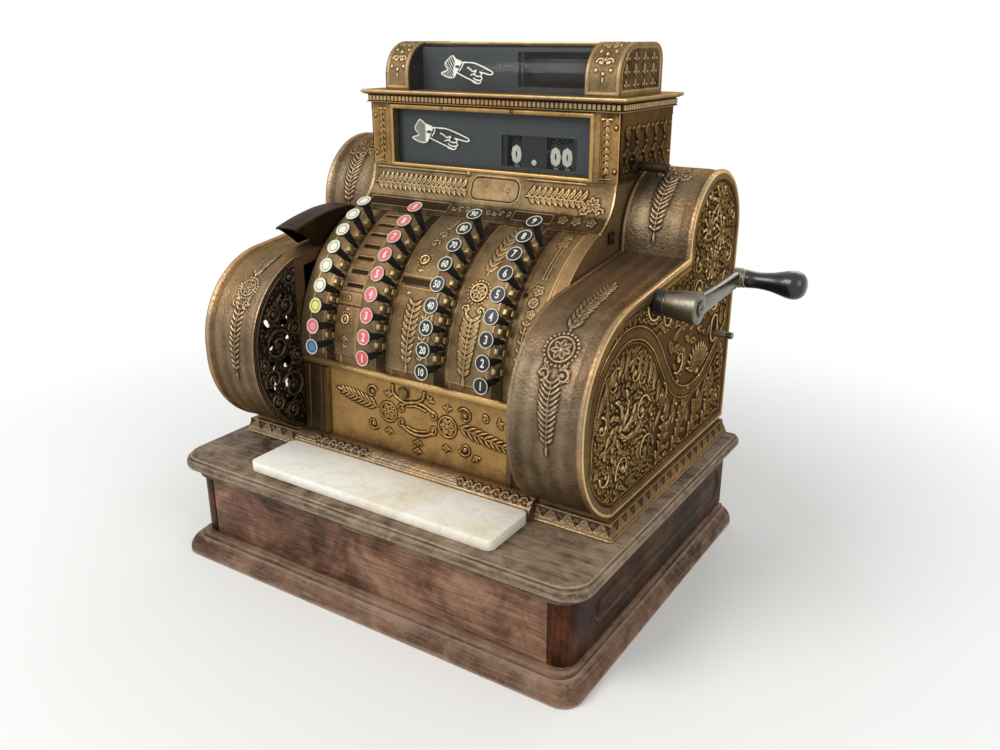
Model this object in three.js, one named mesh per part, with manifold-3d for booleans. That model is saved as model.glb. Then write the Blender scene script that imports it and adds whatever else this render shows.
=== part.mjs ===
// A crank-operated brass cash register of the years around 1900 on a wooden drawer cabinet.
// Millimetres, +Z up, the operator stands at -Y. The origin is the middle of the cabinet's underside.
import * as THREE from "three";
import { mergeVertices } from "three/addons/utils/BufferGeometryUtils.js";
import Module from "manifold-3d";

const wasm = await Module();
wasm.setup();

// Clearances shared by the whole assembly
const seatGap = 0.3; // between two pieces that rest on each other
const runGap = 0.5; // round a shaft, a stem or a stud that moves
const overrun = 2; // how far a cutter passes the faces that it cuts
const arcSteps = 8; // half the segments of a large arc
const cornerSteps = 3; // segments of a rounded corner
const roundSides = 16; // sides of a turned piece
const smallSides = 8; // sides of a pin or a hole
const keySides = 10;
const cupSides = 12;
const mouldSteps = 4; // segments of a moulding's curve

// Wooden cabinet
const cabinetHeight = 125;
const plinthCorner = 21;
const wallCorner = 19;
const boardCorner = 27;
const plinthHeight = 27;
const plinthReach = 22;
const plinthBlock = 8; // the upright part under the plinth's curve
const plinthBead = 5; // the small step above the curve
const plinthBeadReach = 4;
const topBoard = 26;
const topReach = 15;
const topEdgeShares = [
  // of the board's reach and of its thickness, from its underside up
  [0.33, 0.03],
  [0.33, 0.19],
  [0.45, 0.32],
  [0.72, 0.42],
  [1, 0.48],
  [1, 0.78],
  [0.9, 0.91],
  [0.69, 1],
];
const sideWall = 23;
const backWall = 16;
const grooveInset = 46; // from the ends of a side wall to its sunk panel
const grooveWidth = 34;
const grooveDepth = 3;

// Drawer and its till tray
const drawerGap = 1.2;
const drawerFront = 20;
const drawerSide = 9;
const drawerFloor = 6;
const drawerRearGap = 12;
const drawerRim = 12; // the box sides stay this far below the top of the front
const trayGap = 1;
const trayHeight = 44;
const trayWall = 7;
const trayFloor = 5;
const binCount = 5;
const cupShare = 0.4; // the coin cups' share of the tray's depth
const cupSink = 4; // how far a cup's centre lies above the tray's top

// Marble sill
const sillWidth = 328;
const sillDepth = 71;
const sillThickness = 12;
const sillCorner = 8;
const sillInset = 2.7; // from the cabinet's front wall to the sill

// Cast base frame under the machine
const baseReach = 6.3; // how far it stands out beside the castings
const baseFrontReach = 19.4; // how far it stands out before the keyboard
const baseInset = 0.7; // from the cabinet's side walls to the base frame
const baseHeight = 16.4;
const baseTaper = 5.3;
const baseStep = 5; // the recessed course that the castings stand on
const baseStepInset = 4;
const baseCorner = 2;
const railReach = 7; // how far the front rail stands out of the base frame
const railDrop = 6;

// The machine's main planes
const machineSetback = 2; // from the cabinet's back to the castings' back
const towerSetback = 24; // from the castings' back to the tower's back
const towerDepth = 131;
const towerWidth = 328.4;
const towerHeight = 72;
const castingWall = 3;

// Curved keyboard
const keyboardRadius = 158;
const keyboardSetback = 13.4; // its centre behind the tower's front
const panelHeight = 97; // from the base frame up to the centre of the curve
const keyboardRise = 199.4; // from that centre up to the tower
const keyboardPlate = 4;
const keyboardStart = THREE.MathUtils.degToRad(-2);
const keyboardEnd = THREE.MathUtils.degToRad(72);
const borderFlare = THREE.MathUtils.degToRad(1.5); // how far the border's ends lean out
const friezeHollowShares = [0.92, 0.3]; // where the frieze's curve bends, across and up
const borderWidth = 14;
const borderHeight = 2.5;

// Keys
const keyColumnShares = [-0.365, -0.14, 0.1035, 0.329]; // of the keyboard's width, from its middle
const keysPerColumn = 9;
const keyFirst = THREE.MathUtils.degToRad(5.8);
const keyPitch = THREE.MathUtils.degToRad(7.05);
const keyStandOff = 32; // from the keyboard's face to the top of a key
const keyRadius = 8.8;
const keyThickness = 3.4;
const keyNeckDrop = 5;
const keyStem = 3.8;
const keyShank = 2.6;
const keyTravel = 8;
const keyTail = 22; // the shank's length inside the keyboard

// Front panel under the keyboard
const panelThickness = 4;
const panelLean = 4;
const panelTopDrop = 15;
const panelFrame = 38;
const panelRelief = 3;
const ledgeReach = 5;
const ledgeHeight = 5;
const lockRadius = 6;
const lockHeight = 7;
const lockAcross = -14;
const lockDrop = 18;

// Side castings
const caseWidth = 79.8;
const caseGap = 2;
const lobeSetback = 272; // from the castings' back to the lower lobe's centre
const lobeRadius = 101;
const lobeLow = 95;
const lobeStraight = 12;
const deckSlope = THREE.MathUtils.degToRad(7);
const rightDrum = { radius: 72, rise: 235 };
const leftDrum = { radius: 80, rise: 241 };
const rimWidth = 8;
const rimDepth = 2.5;
const flange = 12;
const grilleHole = 8;
const grilleRows = 6;
const grilleWideRows = 4; // the middle rows that hold two holes
const grillePitch = 25;

// Crank on the right
const crankInset = 26.2; // from the keyboard's face in to the crank's axis
const crankAngle = THREE.MathUtils.degToRad(50.7); // of that axis round the keyboard's centre
const crankShaft = 6;
const collarRadius = 13;
const collarLength = 9;
const hubRadius = 16.5;
const hubLength = 34;
const armLength = 120;
const armTilt = THREE.MathUtils.degToRad(2);
const armWidth = 20;
const armEndWidth = 16;
const armThickness = 9;
const ferruleRadius = 10.5;
const ferruleLength = 14;
const spindleRadius = 4;
const gripLength = 62;
const gripRadius = 15;
const spindleReach = 50; // the spindle's length inside the grip
const gripShares = [
  // of the grip's length and of its largest radius
  [0, 0.63],
  [0.2, 0.59],
  [0.4, 0.65],
  [0.6, 0.88],
  [0.78, 1],
  [0.92, 0.84],
  [1, 0.4],
];

// Gears inside
const gearModule = 2.2;
const pinionTeeth = 16;
const mainTeeth = 32;
const gearWidth = 9;
const gearSide = 6; // from the frame plate to the gears
const toothShares = { root: 0.25, tip: 0.12 }; // half a tooth's width as a share of the pitch
const addendumShare = 0.8; // of the module
const dedendumShare = 1;
const mainShaft = 7;

// Mechanism frame
const framePlate = 4;
const frameInset = 10; // from the keyboard's cheeks to the frame plates
const frameBackInset = 30; // from the rear cover to the plates
const frameArcStart = THREE.MathUtils.degToRad(-20);
const frameArcEnd = THREE.MathUtils.degToRad(68);
const frameHead = 12; // the plates' size round the indicator shaft
const tieRod = 5;
const tieInset = 16; // from the plates' edges to the tie rods
const keyShaft = 8;

// Indicator wheels behind the front glass
const windowInset = 33.2; // from the housing's sides to the window
const windowHeight = 62;
const windowSill = 4;
const frameMoulding = 12;
const mouldingHeight = 2.5;
const housingWall = 4;
const frontWall = 6;
const glassThickness = 2.4;
const glassLap = 8;
const wheelRadius = 36;
const wheelWidth = 14;
const wheelGap = 5; // from the glass to the wheels
const wheelShaft = 4;
const wheelHeightShare = 0.28; // of the window, from its lower edge
const dollarShare = 0.0914; // of the housing's width, from its middle
const centShare = 0.289;
const wheelSides = 10;

// Cornice and sign box on top
const corniceHeight = 14.5;
const corniceReach = 10;
const corniceStep = 5;
const signLeftInset = 22.2; // from the tower's sides to the sign box's ends
const signRightInset = 3.2;
const leftCap = 32;
const rightCap = 40;
const capReach = 2; // how far the caps stand out round the sheet and the glass
const signHeight = 53.5;
const signDepth = 105;
const signFrontRound = 38;
const signBackRound = 20;
const signWall = 2.5;
const signGlassShare = 0.34;
const flagWidth = 84;
const flagRadius = 17;
const flagSides = 4;
const flagShaft = 3.5;
const flagHeightShare = 0.44; // of the sign box
const bearingWall = 3;
const bearingLength = 12;

// Receipt hood on the left deck
const hoodInset = 3.8; // from the casting's inner side to the hood
const hoodWidth = 28;
const hoodLength = 118;
const hoodDrumGap = 20; // from its hinge to the drum behind it
const hoodHeight = 30;
const hoodWall = 1.8;
const hoodTopShares = [
  // of the length forward of the hinge, and of the height
  [0, 0.62],
  [0.25, 0.85],
  [0.5, 0.9],
  [0.75, 0.8],
];
const hoodLipShare = 0.9; // the height at the mouth
const hoodMouthShare = 0.25; // the mouth's height above the hinge
const hoodPin = 2;
const lugWidth = 2.2;
const lugRadius = 5;
const chuteLength = 62;
const chuteInset = 3;
const chuteDepth = 12;

// Stud on the right
const studSetback = 52; // from the castings' back
const studRise = 121;
const studRadius = 4;
const studReach = 22;
const studFlange = 8;
const studFlangeThickness = 3;
const studTravel = 12;

// Rear cover
const rearThickness = 3;
const rearShoulder = 14;

// Places worked out from the sizes above
const towerHalf = towerWidth / 2;
const caseInner = towerHalf + caseGap;
const caseOuter = caseInner + caseWidth;
const baseHalf = caseOuter + baseReach;
const wallHalf = baseHalf + baseInset;
const halfWidth = wallHalf + plinthReach;
const baseDepth = towerSetback + towerDepth - keyboardSetback + keyboardRadius + baseFrontReach;
const sillFrontDepth = machineSetback + baseDepth + railReach + seatGap + sillDepth;
const cabinetDepth = sillFrontDepth + sillInset + plinthReach;
const frontY = -cabinetDepth / 2;
const backY = cabinetDepth / 2;
const wallFrontY = frontY + plinthReach;
const bayHalf = wallHalf - sideWall;
const bayTop = cabinetHeight - topBoard;
const bayBackY = backY - backWall;
const baseBottomZ = cabinetHeight + seatGap;
const skirtTopZ = baseBottomZ + baseHeight;
const baseTopZ = skirtTopZ + baseStep;
const castingZ = baseTopZ + seatGap;
const machineBackY = backY - machineSetback;
const baseFrontY = machineBackY - baseDepth;
const towerBackY = machineBackY - towerSetback;
const towerFrontY = towerBackY - towerDepth;
const centreY = towerFrontY + keyboardSetback;
const centreZ = baseTopZ + panelHeight;
const towerZ = centreZ + keyboardRise;
const towerTopZ = towerZ + towerHeight;
const corniceZ = towerTopZ + seatGap;
const signZ = corniceZ + corniceHeight;
const lobeY = machineBackY - lobeSetback;
const lobeZ = baseTopZ + lobeLow;
const [crankY, crankZ] = keyboardPoint(crankAngle, keyboardRadius - crankInset);
const frameX = towerHalf - castingWall - frameInset;
const gearX = frameX - framePlate - gearSide;
const hoodInner = caseInner + hoodInset;
const hoodOuter = hoodInner + hoodWidth;
const signLeft = -towerHalf + signLeftInset;
const signRight = towerHalf - signRightInset;
const signFrontY = towerFrontY;
const signBackY = signFrontY + signDepth;
const glassY = towerFrontY + frontWall + seatGap;
const wheelY = glassY + glassThickness + wheelGap + wheelRadius;
const windowHalf = towerHalf - windowInset;
const wheelZ = towerZ + windowSill + windowHeight * wheelHeightShare;
const keyTopRadius = keyboardRadius + keyStandOff;
const keyColumns = keyColumnShares.map((share) => share * towerWidth);
const centX = centShare * towerWidth;
const wheelPlaces = {
  dollar_wheel: dollarShare * towerWidth,
  ten_cent_wheel: centX - wheelWidth - runGap,
  cent_wheel: centX,
};

// Builders of closed solids
function solid(geometry) {
  const bare = geometry.clone();
  bare.deleteAttribute("normal");
  bare.deleteAttribute("uv");
  const merged = mergeVertices(bare, 1e-4);
  const triVerts = new Uint32Array(merged.index.array);
  const vertProperties = merged.attributes.position.array;
  return new wasm.Manifold(new wasm.Mesh({ numProp: 3, vertProperties, triVerts }));
}

function geometryOf(manifold) {
  const mesh = manifold.getMesh();
  const geometry = new THREE.BufferGeometry();
  geometry.setAttribute("position", new THREE.BufferAttribute(mesh.vertProperties, 3));
  geometry.setIndex(new THREE.BufferAttribute(mesh.triVerts, 1));
  geometry.computeVertexNormals();
  return geometry;
}

function join(...solids) {
  return solids.flat().reduce((sum, next) => sum.add(next));
}

function cut(body, ...tools) {
  return tools.flat().reduce((rest, tool) => rest.subtract(tool), body);
}

function box(x0, x1, y0, y1, z0, z1) {
  const geometry = new THREE.BoxGeometry(x1 - x0, y1 - y0, z1 - z0);
  geometry.translate((x0 + x1) / 2, (y0 + y1) / 2, (z0 + z1) / 2);
  return solid(geometry);
}

function extrude(shape, length, matrix, steps = arcSteps) {
  const geometry = new THREE.ExtrudeGeometry(shape, {
    depth: length,
    bevelEnabled: false,
    curveSegments: steps,
  });
  geometry.applyMatrix4(matrix);
  return solid(geometry);
}

// An outline in (y, z) drawn out along X
function alongX(shape, x0, x1, steps) {
  const matrix = new THREE.Matrix4().makeBasis(
    new THREE.Vector3(0, 1, 0),
    new THREE.Vector3(0, 0, 1),
    new THREE.Vector3(1, 0, 0),
  );
  matrix.setPosition(x0, 0, 0);
  return extrude(shape, x1 - x0, matrix, steps);
}

// An outline in (x, y) drawn out along Z
function alongZ(shape, z0, z1, steps) {
  return extrude(shape, z1 - z0, new THREE.Matrix4().makeTranslation(0, 0, z0), steps);
}

function outline(points) {
  return new THREE.Shape(points.map(([u, v]) => new THREE.Vector2(u, v)));
}

function roundedRectangle(u0, u1, v0, v1, radius) {
  const shape = new THREE.Shape();
  shape.absarc(u1 - radius, v0 + radius, radius, -Math.PI / 2, 0, false);
  shape.absarc(u1 - radius, v1 - radius, radius, 0, Math.PI / 2, false);
  shape.absarc(u0 + radius, v1 - radius, radius, Math.PI / 2, Math.PI, false);
  shape.absarc(u0 + radius, v0 + radius, radius, Math.PI, 1.5 * Math.PI, false);
  return shape;
}

function rodX(x0, x1, y, z, radius, sides = roundSides) {
  const geometry = new THREE.CylinderGeometry(radius, radius, x1 - x0, sides);
  geometry.rotateZ(-Math.PI / 2);
  geometry.translate((x0 + x1) / 2, y, z);
  return solid(geometry);
}

// A turned piece whose profile is a list of [distance along X, radius] pairs
function turnedX(profile, x, y, z, sides = roundSides) {
  const points = profile.map(([along, radius]) => new THREE.Vector2(radius, along));
  const geometry = new THREE.LatheGeometry(points, sides);
  geometry.rotateZ(-Math.PI / 2);
  geometry.translate(x, y, z);
  return solid(geometry);
}

// A slab with rounded front corners whose sides follow a moulding: each level is
// [distance in from the sides and the front, height, corner radius], from the bottom up
function moulded(levels, half, y0, y1) {
  const positions = [];
  const levelPoints = (inset, z, corner) => {
    const points = [];
    const arc = (x, y, start) => {
      for (let i = 0; i <= cornerSteps; i += 1) {
        const angle = start + (i / cornerSteps) * (Math.PI / 2);
        points.push([x + corner * Math.cos(angle), y + corner * Math.sin(angle), z]);
      }
    };
    const x1 = half - inset;
    arc(x1 - corner, y0 + inset + corner, -Math.PI / 2);
    points.push([x1, y1, z], [-x1, y1, z]);
    arc(-x1 + corner, y0 + inset + corner, Math.PI);
    return points;
  };
  const rings = levels.map((level) => levelPoints(...level));
  const count = rings[0].length;
  const middleY = (y0 + y1) / 2;
  const triangle = (...corners) => corners.forEach((corner) => positions.push(...corner));
  rings.slice(1).forEach((upper, level) => {
    const lower = rings[level];
    for (let i = 0; i < count; i += 1) {
      const next = (i + 1) % count;
      triangle(lower[i], lower[next], upper[next]);
      triangle(lower[i], upper[next], upper[i]);
    }
  });
  const bottom = rings[0];
  const top = rings[rings.length - 1];
  for (let i = 0; i < count; i += 1) {
    const next = (i + 1) % count;
    triangle([0, middleY, bottom[0][2]], bottom[next], bottom[i]);
    triangle([0, middleY, top[0][2]], top[i], top[next]);
  }
  const geometry = new THREE.BufferGeometry();
  geometry.setAttribute("position", new THREE.Float32BufferAttribute(positions, 3));
  return solid(geometry);
}

// Cabinet: plinth, walls and top board in one joined carcase with the drawer bay open in front
function cabinet() {
  const levels = [[0, 0, plinthCorner]];
  const curveReach = plinthReach - plinthBeadReach;
  const curveHeight = plinthHeight - plinthBead - plinthBlock;
  for (let i = 0; i <= mouldSteps; i += 1) {
    const angle = (i / mouldSteps) * (Math.PI / 2);
    levels.push([
      curveReach * (1 - Math.cos(angle)),
      plinthBlock + curveHeight * Math.sin(angle),
      plinthCorner,
    ]);
  }
  levels.push([curveReach, plinthHeight, plinthCorner], [plinthReach, plinthHeight, wallCorner]);
  levels.push([plinthReach, bayTop, wallCorner]);
  topEdgeShares.forEach(([reach, height]) => {
    levels.push([plinthReach - topReach * reach, bayTop + topBoard * height, boardCorner]);
  });
  const bay = box(-bayHalf, bayHalf, frontY, bayBackY, plinthHeight, bayTop).add(
    box(-bayHalf, bayHalf, frontY - overrun, wallFrontY + overrun, plinthHeight, bayTop),
  );
  const grooveZ = (plinthHeight + bayTop) / 2;
  const groove = (x0, x1) =>
    alongX(
      roundedRectangle(
        wallFrontY + grooveInset,
        backY - grooveInset / 2,
        grooveZ - grooveWidth / 2,
        grooveZ + grooveWidth / 2,
        grooveWidth / 2,
      ),
      x0,
      x1,
      cornerSteps,
    );
  return cut(
    moulded(levels, halfWidth, frontY, backY),
    bay,
    groove(wallHalf - grooveDepth, wallHalf + overrun),
    groove(-wallHalf - overrun, -wallHalf + grooveDepth),
  );
}

// Drawer: front board, two sides, back and floor
const drawerHalf = bayHalf - drawerGap;
const drawerTop = bayTop - drawerGap;
const drawerBottom = plinthHeight + seatGap;
const drawerInnerFrontY = wallFrontY + drawerFront;
const drawerBackY = bayBackY - drawerRearGap;

function drawer() {
  const rimTop = drawerTop - drawerRim;
  const front = box(-drawerHalf, drawerHalf, wallFrontY, drawerInnerFrontY, drawerBottom, drawerTop);
  const tub = box(-drawerHalf, drawerHalf, drawerInnerFrontY - overrun, drawerBackY, drawerBottom, rimTop);
  const hollow = box(
    -drawerHalf + drawerSide,
    drawerHalf - drawerSide,
    drawerInnerFrontY,
    drawerBackY - drawerSide,
    drawerBottom + drawerFloor,
    drawerTop + overrun,
  );
  return cut(join(front, tub), hollow);
}

// Till tray: round coin cups in front, note bins behind
function tillTray() {
  const half = drawerHalf - drawerSide - trayGap;
  const y0 = drawerInnerFrontY + trayGap;
  const y1 = drawerBackY - drawerSide - trayGap;
  const z0 = drawerBottom + drawerFloor + seatGap;
  const z1 = z0 + trayHeight;
  const pitch = (2 * half - trayWall) / binCount;
  const cupDepth = (y1 - y0) * cupShare;
  const cupRadius = Math.min(pitch - trayWall, cupDepth - 2 * trayWall) / 2;
  const hollows = [];
  for (let i = 0; i < binCount; i += 1) {
    const left = -half + trayWall + i * pitch;
    const right = left + pitch - trayWall;
    const cup = new THREE.SphereGeometry(1, cupSides, cupSides / 2);
    cup.rotateX(Math.PI / 2);
    cup.scale(cupRadius, cupRadius, trayHeight - trayFloor + cupSink);
    cup.translate((left + right) / 2, y0 + cupDepth / 2, z1 + cupSink);
    hollows.push(solid(cup));
    hollows.push(box(left, right, y0 + cupDepth, y1 - trayWall, z0 + trayFloor, z1 + overrun));
  }
  return cut(box(-half, half, y0, y1, z0, z1), hollows);
}

// Marble sill in front of the machine
function marbleSill() {
  const y1 = baseFrontY - railReach - seatGap;
  const z0 = cabinetHeight + seatGap;
  const slab = roundedRectangle(-sillWidth / 2, sillWidth / 2, y1 - sillDepth, y1, sillCorner);
  return alongZ(slab, z0, z0 + sillThickness, cornerSteps - 1);
}

// Base frame: a tapered slab, a recessed course on top and a moulded rail in front
function baseFrame() {
  const inset = baseTaper + baseStepInset;
  const slab = moulded(
    [
      [0, baseBottomZ, baseCorner],
      [baseTaper, skirtTopZ, baseCorner],
      [inset, skirtTopZ, baseCorner],
      [inset, baseTopZ, baseCorner],
    ],
    baseHalf,
    baseFrontY,
    machineBackY,
  );
  const rail = alongX(
    outline([
      [baseFrontY - railReach, baseBottomZ],
      [baseFrontY + inset + overrun, baseBottomZ],
      [baseFrontY + inset + overrun, baseTopZ],
      [baseFrontY + baseTaper, baseTopZ],
      [baseFrontY, baseTopZ - railDrop / 2],
      [baseFrontY - railReach / 2, baseTopZ - railDrop],
      [baseFrontY - railReach, baseTopZ - 2 * railDrop],
    ]),
    -caseInner + caseGap,
    caseInner - caseGap,
  );
  return join(slab, rail);
}

// Points of the keyboard in (y, z), at an angle above the level through its centre
function keyboardPoint(angle, radius) {
  return [centreY - radius * Math.cos(angle), centreZ + radius * Math.sin(angle)];
}

const panelFaceY = keyboardPoint(keyboardStart, keyboardRadius)[0];
const cheekBackY = machineBackY - rearThickness - seatGap;

// The hollow sweep from the top of the curved face up to the tower
function friezeTo(shape, inset) {
  const [y0, z0] = keyboardPoint(keyboardEnd, keyboardRadius - inset);
  const y1 = towerFrontY + inset;
  const [across, up] = friezeHollowShares;
  shape.quadraticCurveTo(y0 + (y1 - y0) * across, z0 + (towerZ - z0) * up, y1, towerZ);
}

// Keyboard casting: the curved plate, its raised borders and the two cheeks, open below and behind
function keyboardCasting() {
  const half = towerHalf;
  const borderRadius = keyboardRadius + borderHeight;
  const startZ = keyboardPoint(keyboardStart, keyboardRadius)[1];
  const from = Math.PI - keyboardStart;
  const to = Math.PI - keyboardEnd;

  const outer = new THREE.Shape();
  outer.moveTo(...keyboardPoint(keyboardStart, borderRadius));
  outer.absarc(centreY, centreZ, borderRadius, from, to, true);
  outer.lineTo(...keyboardPoint(keyboardEnd, keyboardRadius));
  friezeTo(outer, 0);
  outer.lineTo(towerBackY, towerZ);
  outer.lineTo(cheekBackY, towerZ - rearShoulder);
  outer.lineTo(cheekBackY, castingZ);
  outer.lineTo(panelFaceY, castingZ);
  outer.lineTo(panelFaceY, startZ);

  const innerRadius = keyboardRadius - keyboardPlate;
  const inner = new THREE.Shape();
  inner.moveTo(...keyboardPoint(keyboardStart, innerRadius));
  inner.absarc(centreY, centreZ, innerRadius, from, to, true);
  friezeTo(inner, keyboardPlate);
  inner.lineTo(towerFrontY + keyboardPlate, towerZ + overrun);
  inner.lineTo(cheekBackY + overrun, towerZ + overrun);
  inner.lineTo(cheekBackY + overrun, castingZ - overrun);
  inner.lineTo(panelFaceY - overrun, castingZ - overrun);
  inner.lineTo(panelFaceY - overrun, startZ);

  // Clears the face between the two borders
  const field = new THREE.Shape();
  field.moveTo(...keyboardPoint(keyboardStart - borderFlare, borderRadius + overrun));
  field.lineTo(...keyboardPoint(keyboardStart, keyboardRadius));
  field.absarc(centreY, centreZ, keyboardRadius, from, to, true);
  field.lineTo(...keyboardPoint(keyboardEnd + borderFlare, borderRadius + overrun));
  field.absarc(centreY, centreZ, borderRadius + overrun, to, from, false);

  const holes = [];
  keyColumns.forEach((x) => {
    for (let i = 0; i < keysPerColumn; i += 1) {
      const angle = keyFirst + i * keyPitch;
      const radius = keyShank + runGap;
      const hole = new THREE.CylinderGeometry(radius, radius, keyboardPlate + 2 * overrun, smallSides);
      hole.rotateX(Math.PI - angle);
      hole.translate(x, ...keyboardPoint(angle, keyboardRadius - keyboardPlate / 2));
      holes.push(solid(hole));
    }
  });
  const shaftHole = rodX(half - 2 * castingWall, half + overrun, crankY, crankZ, crankShaft + runGap);
  return cut(
    alongX(outer, -half, half),
    alongX(inner, -half + castingWall, half - castingWall),
    alongX(field, -half + borderWidth, half - borderWidth),
    holes,
    shaftHole,
  );
}

// A key on the axis of its own movement: shank through the keyboard, stem, neck and disc
function key() {
  const stopRadius = keyboardRadius + keyTravel + seatGap;
  const underside = keyTopRadius - keyThickness;
  const profile = [
    [0, keyboardRadius - keyTail],
    [keyShank, keyboardRadius - keyTail],
    [keyShank, stopRadius],
    [keyStem, stopRadius],
    [keyStem, underside - keyNeckDrop],
    [keyRadius, underside],
    [keyRadius, keyTopRadius],
    [0, keyTopRadius],
  ];
  const points = profile.map(([radius, along]) => new THREE.Vector2(radius, along));
  return new THREE.LatheGeometry(points, keySides);
}

// Front panel: a leaning plate with raised side frames, a ledge and a lock
function frontPanel() {
  const half = towerHalf - castingWall - seatGap;
  const z1 = castingZ + panelHeight - panelTopDrop;
  const topZ = keyboardPoint(keyboardStart, keyboardRadius)[1] - seatGap;
  const lowY = panelFaceY - panelLean;
  const plate = outline([
    [lowY, castingZ],
    [lowY + panelThickness, castingZ],
    [panelFaceY + panelThickness, z1],
    [panelFaceY + panelThickness, topZ],
    [panelFaceY - ledgeReach, topZ],
    [panelFaceY - ledgeReach, topZ - ledgeHeight],
    [panelFaceY, topZ - ledgeHeight],
    [panelFaceY, z1],
  ]);
  const relief = outline([
    [lowY - panelRelief, castingZ],
    [lowY + panelThickness / 2, castingZ],
    [panelFaceY + panelThickness / 2, z1],
    [panelFaceY - panelRelief, z1],
  ]);
  const lock = new THREE.CylinderGeometry(lockRadius, lockRadius, lockHeight + panelThickness, roundSides);
  lock.rotateX(Math.PI / 2);
  lock.translate(lockAcross, panelFaceY - (lockHeight - panelThickness) / 2, topZ - lockDrop);
  return join(
    alongX(plate, -half, half),
    alongX(relief, -half, -half + panelFrame),
    alongX(relief, half - panelFrame, half),
    solid(lock),
  );
}

// Height of the side castings' sloping deck
function deckZ(y, inset = 0) {
  const peakY = lobeY - lobeRadius * Math.sin(deckSlope);
  const peakZ = lobeZ + lobeStraight + lobeRadius * Math.cos(deckSlope);
  return peakZ + (y - peakY) * Math.tan(deckSlope) - inset / Math.cos(deckSlope);
}

// Side castings: a low round lobe in front, a sloping deck and a tall drum at the back
function caseOutline(drum, inset) {
  const radius = lobeRadius - inset;
  const bottomZ = castingZ + inset;
  const lowAngle = Math.PI + Math.asin((lobeZ - bottomZ) / radius);
  const drumRadius = drum.radius - inset;
  const drumY = machineBackY - drum.radius;
  const shape = new THREE.Shape();
  shape.moveTo(lobeY + radius * Math.cos(lowAngle), bottomZ);
  shape.lineTo(machineBackY - inset, bottomZ);
  shape.absarc(drumY, baseTopZ + drum.rise, drumRadius, 0, Math.PI, false);
  shape.lineTo(drumY - drumRadius, deckZ(drumY - drumRadius, inset));
  shape.absarc(lobeY, lobeZ + lobeStraight, radius, Math.PI / 2 + deckSlope, Math.PI, false);
  shape.absarc(lobeY, lobeZ, radius, Math.PI, lowAngle, false);
  return shape;
}

// A casting's shell with its raised rim outside and its open inner side; side is 1 or -1
function sideShell(drum, side) {
  const across = (x0, x1) => (side > 0 ? [x0, x1] : [-x1, -x0]);
  const body = alongX(caseOutline(drum, 0), ...across(caseInner, caseOuter));
  const field = alongX(caseOutline(drum, rimWidth), ...across(caseOuter - rimDepth, caseOuter + overrun));
  const hollow = alongX(
    caseOutline(drum, castingWall),
    ...across(caseInner + castingWall, caseOuter - rimDepth - castingWall),
  );
  const through = across(caseInner - overrun, caseInner + castingWall + overrun);
  const behindPanel = box(...through, panelFaceY + flange, backY, castingZ, towerTopZ);
  const innerWindow = alongX(caseOutline(drum, flange), ...through).intersect(behindPanel);
  return cut(body, field, hollow, innerWindow);
}

// Receipt hood's places on the left deck
const hoodHingeY = machineBackY - 2 * leftDrum.radius - hoodDrumGap;
const hoodHingeZ = deckZ(hoodHingeY) + lugRadius;
const hoodRearY = hoodHingeY + lugRadius;
const hoodFrontY = hoodRearY - hoodLength;
const hoodPinEnd = seatGap + lugWidth;

function grilleHoles() {
  const holes = [];
  const middle = (grilleRows - 1) / 2;
  for (let row = 0; row < grilleRows; row += 1) {
    const z = lobeZ + lobeStraight / 2 + (row - middle) * grillePitch;
    const columns = Math.abs(row - middle) < grilleWideRows / 2 ? 2 : 1;
    for (let column = 0; column < columns; column += 1) {
      const y = panelFaceY - grillePitch * (column + 1);
      const x = -caseInner - castingWall - overrun;
      holes.push(rodX(x, -caseInner + overrun, y, z, grilleHole, smallSides));
    }
  }
  return holes;
}

function leftCasting() {
  const lugs = [-hoodOuter - seatGap - lugWidth, -hoodInner + seatGap].map((x) => {
    const ear = rodX(x, x + lugWidth, hoodHingeY, hoodHingeZ, lugRadius, smallSides);
    const footZ = deckZ(hoodHingeY, castingWall);
    const foot = box(x, x + lugWidth, hoodHingeY - lugRadius, hoodRearY, footZ, hoodHingeZ);
    return join(ear, foot);
  });
  const pinHole = rodX(
    -hoodOuter - hoodPinEnd - overrun,
    -hoodInner + hoodPinEnd + overrun,
    hoodHingeY,
    hoodHingeZ,
    hoodPin + runGap,
    smallSides,
  );
  const chuteY = (hoodFrontY + hoodHingeY) / 2;
  const chute = box(
    -hoodOuter + hoodWall + chuteInset,
    -hoodInner - hoodWall - chuteInset,
    chuteY - chuteLength / 2,
    chuteY + chuteLength / 2,
    deckZ(chuteY) - chuteDepth,
    deckZ(chuteY) + chuteDepth,
  );
  return cut(join(sideShell(leftDrum, -1), lugs), grilleHoles(), pinHole, chute);
}

// Stud's places on the right casting
const studY = machineBackY - studSetback;
const studZ = baseTopZ + studRise;
const studWallX = caseOuter - rimDepth - castingWall;

function rightCasting() {
  const shaftHole = rodX(caseInner - overrun, caseOuter + overrun, crankY, crankZ, crankShaft + runGap);
  const slotRadius = studRadius + runGap;
  const slot = alongX(
    roundedRectangle(
      studY - slotRadius,
      studY + slotRadius,
      studZ - slotRadius,
      studZ + studTravel + slotRadius,
      slotRadius,
    ),
    studWallX - overrun,
    caseOuter + overrun,
    cornerSteps - 1,
  );
  return cut(sideShell(rightDrum, 1), shaftHole, slot);
}

// Receipt hood: an arched channel, open in front and below, on a hinge pin at its rear
function hoodOutline(inset) {
  const footZ = deckZ(hoodHingeY) + seatGap;
  const top = hoodTopShares.map(([along, height]) => [
    hoodHingeY - hoodLength * along,
    hoodHingeZ + hoodHeight * height - inset,
  ]);
  const lipFootY = hoodFrontY + hoodHeight / 2;
  return outline([
    [hoodHingeY, footZ],
    [hoodRearY - inset, hoodHingeZ],
    [hoodRearY - inset, top[0][1]],
    ...top,
    [hoodFrontY, deckZ(hoodFrontY) + hoodHeight * hoodLipShare - inset],
    [lipFootY, deckZ(lipFootY) + seatGap],
  ]);
}

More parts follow.
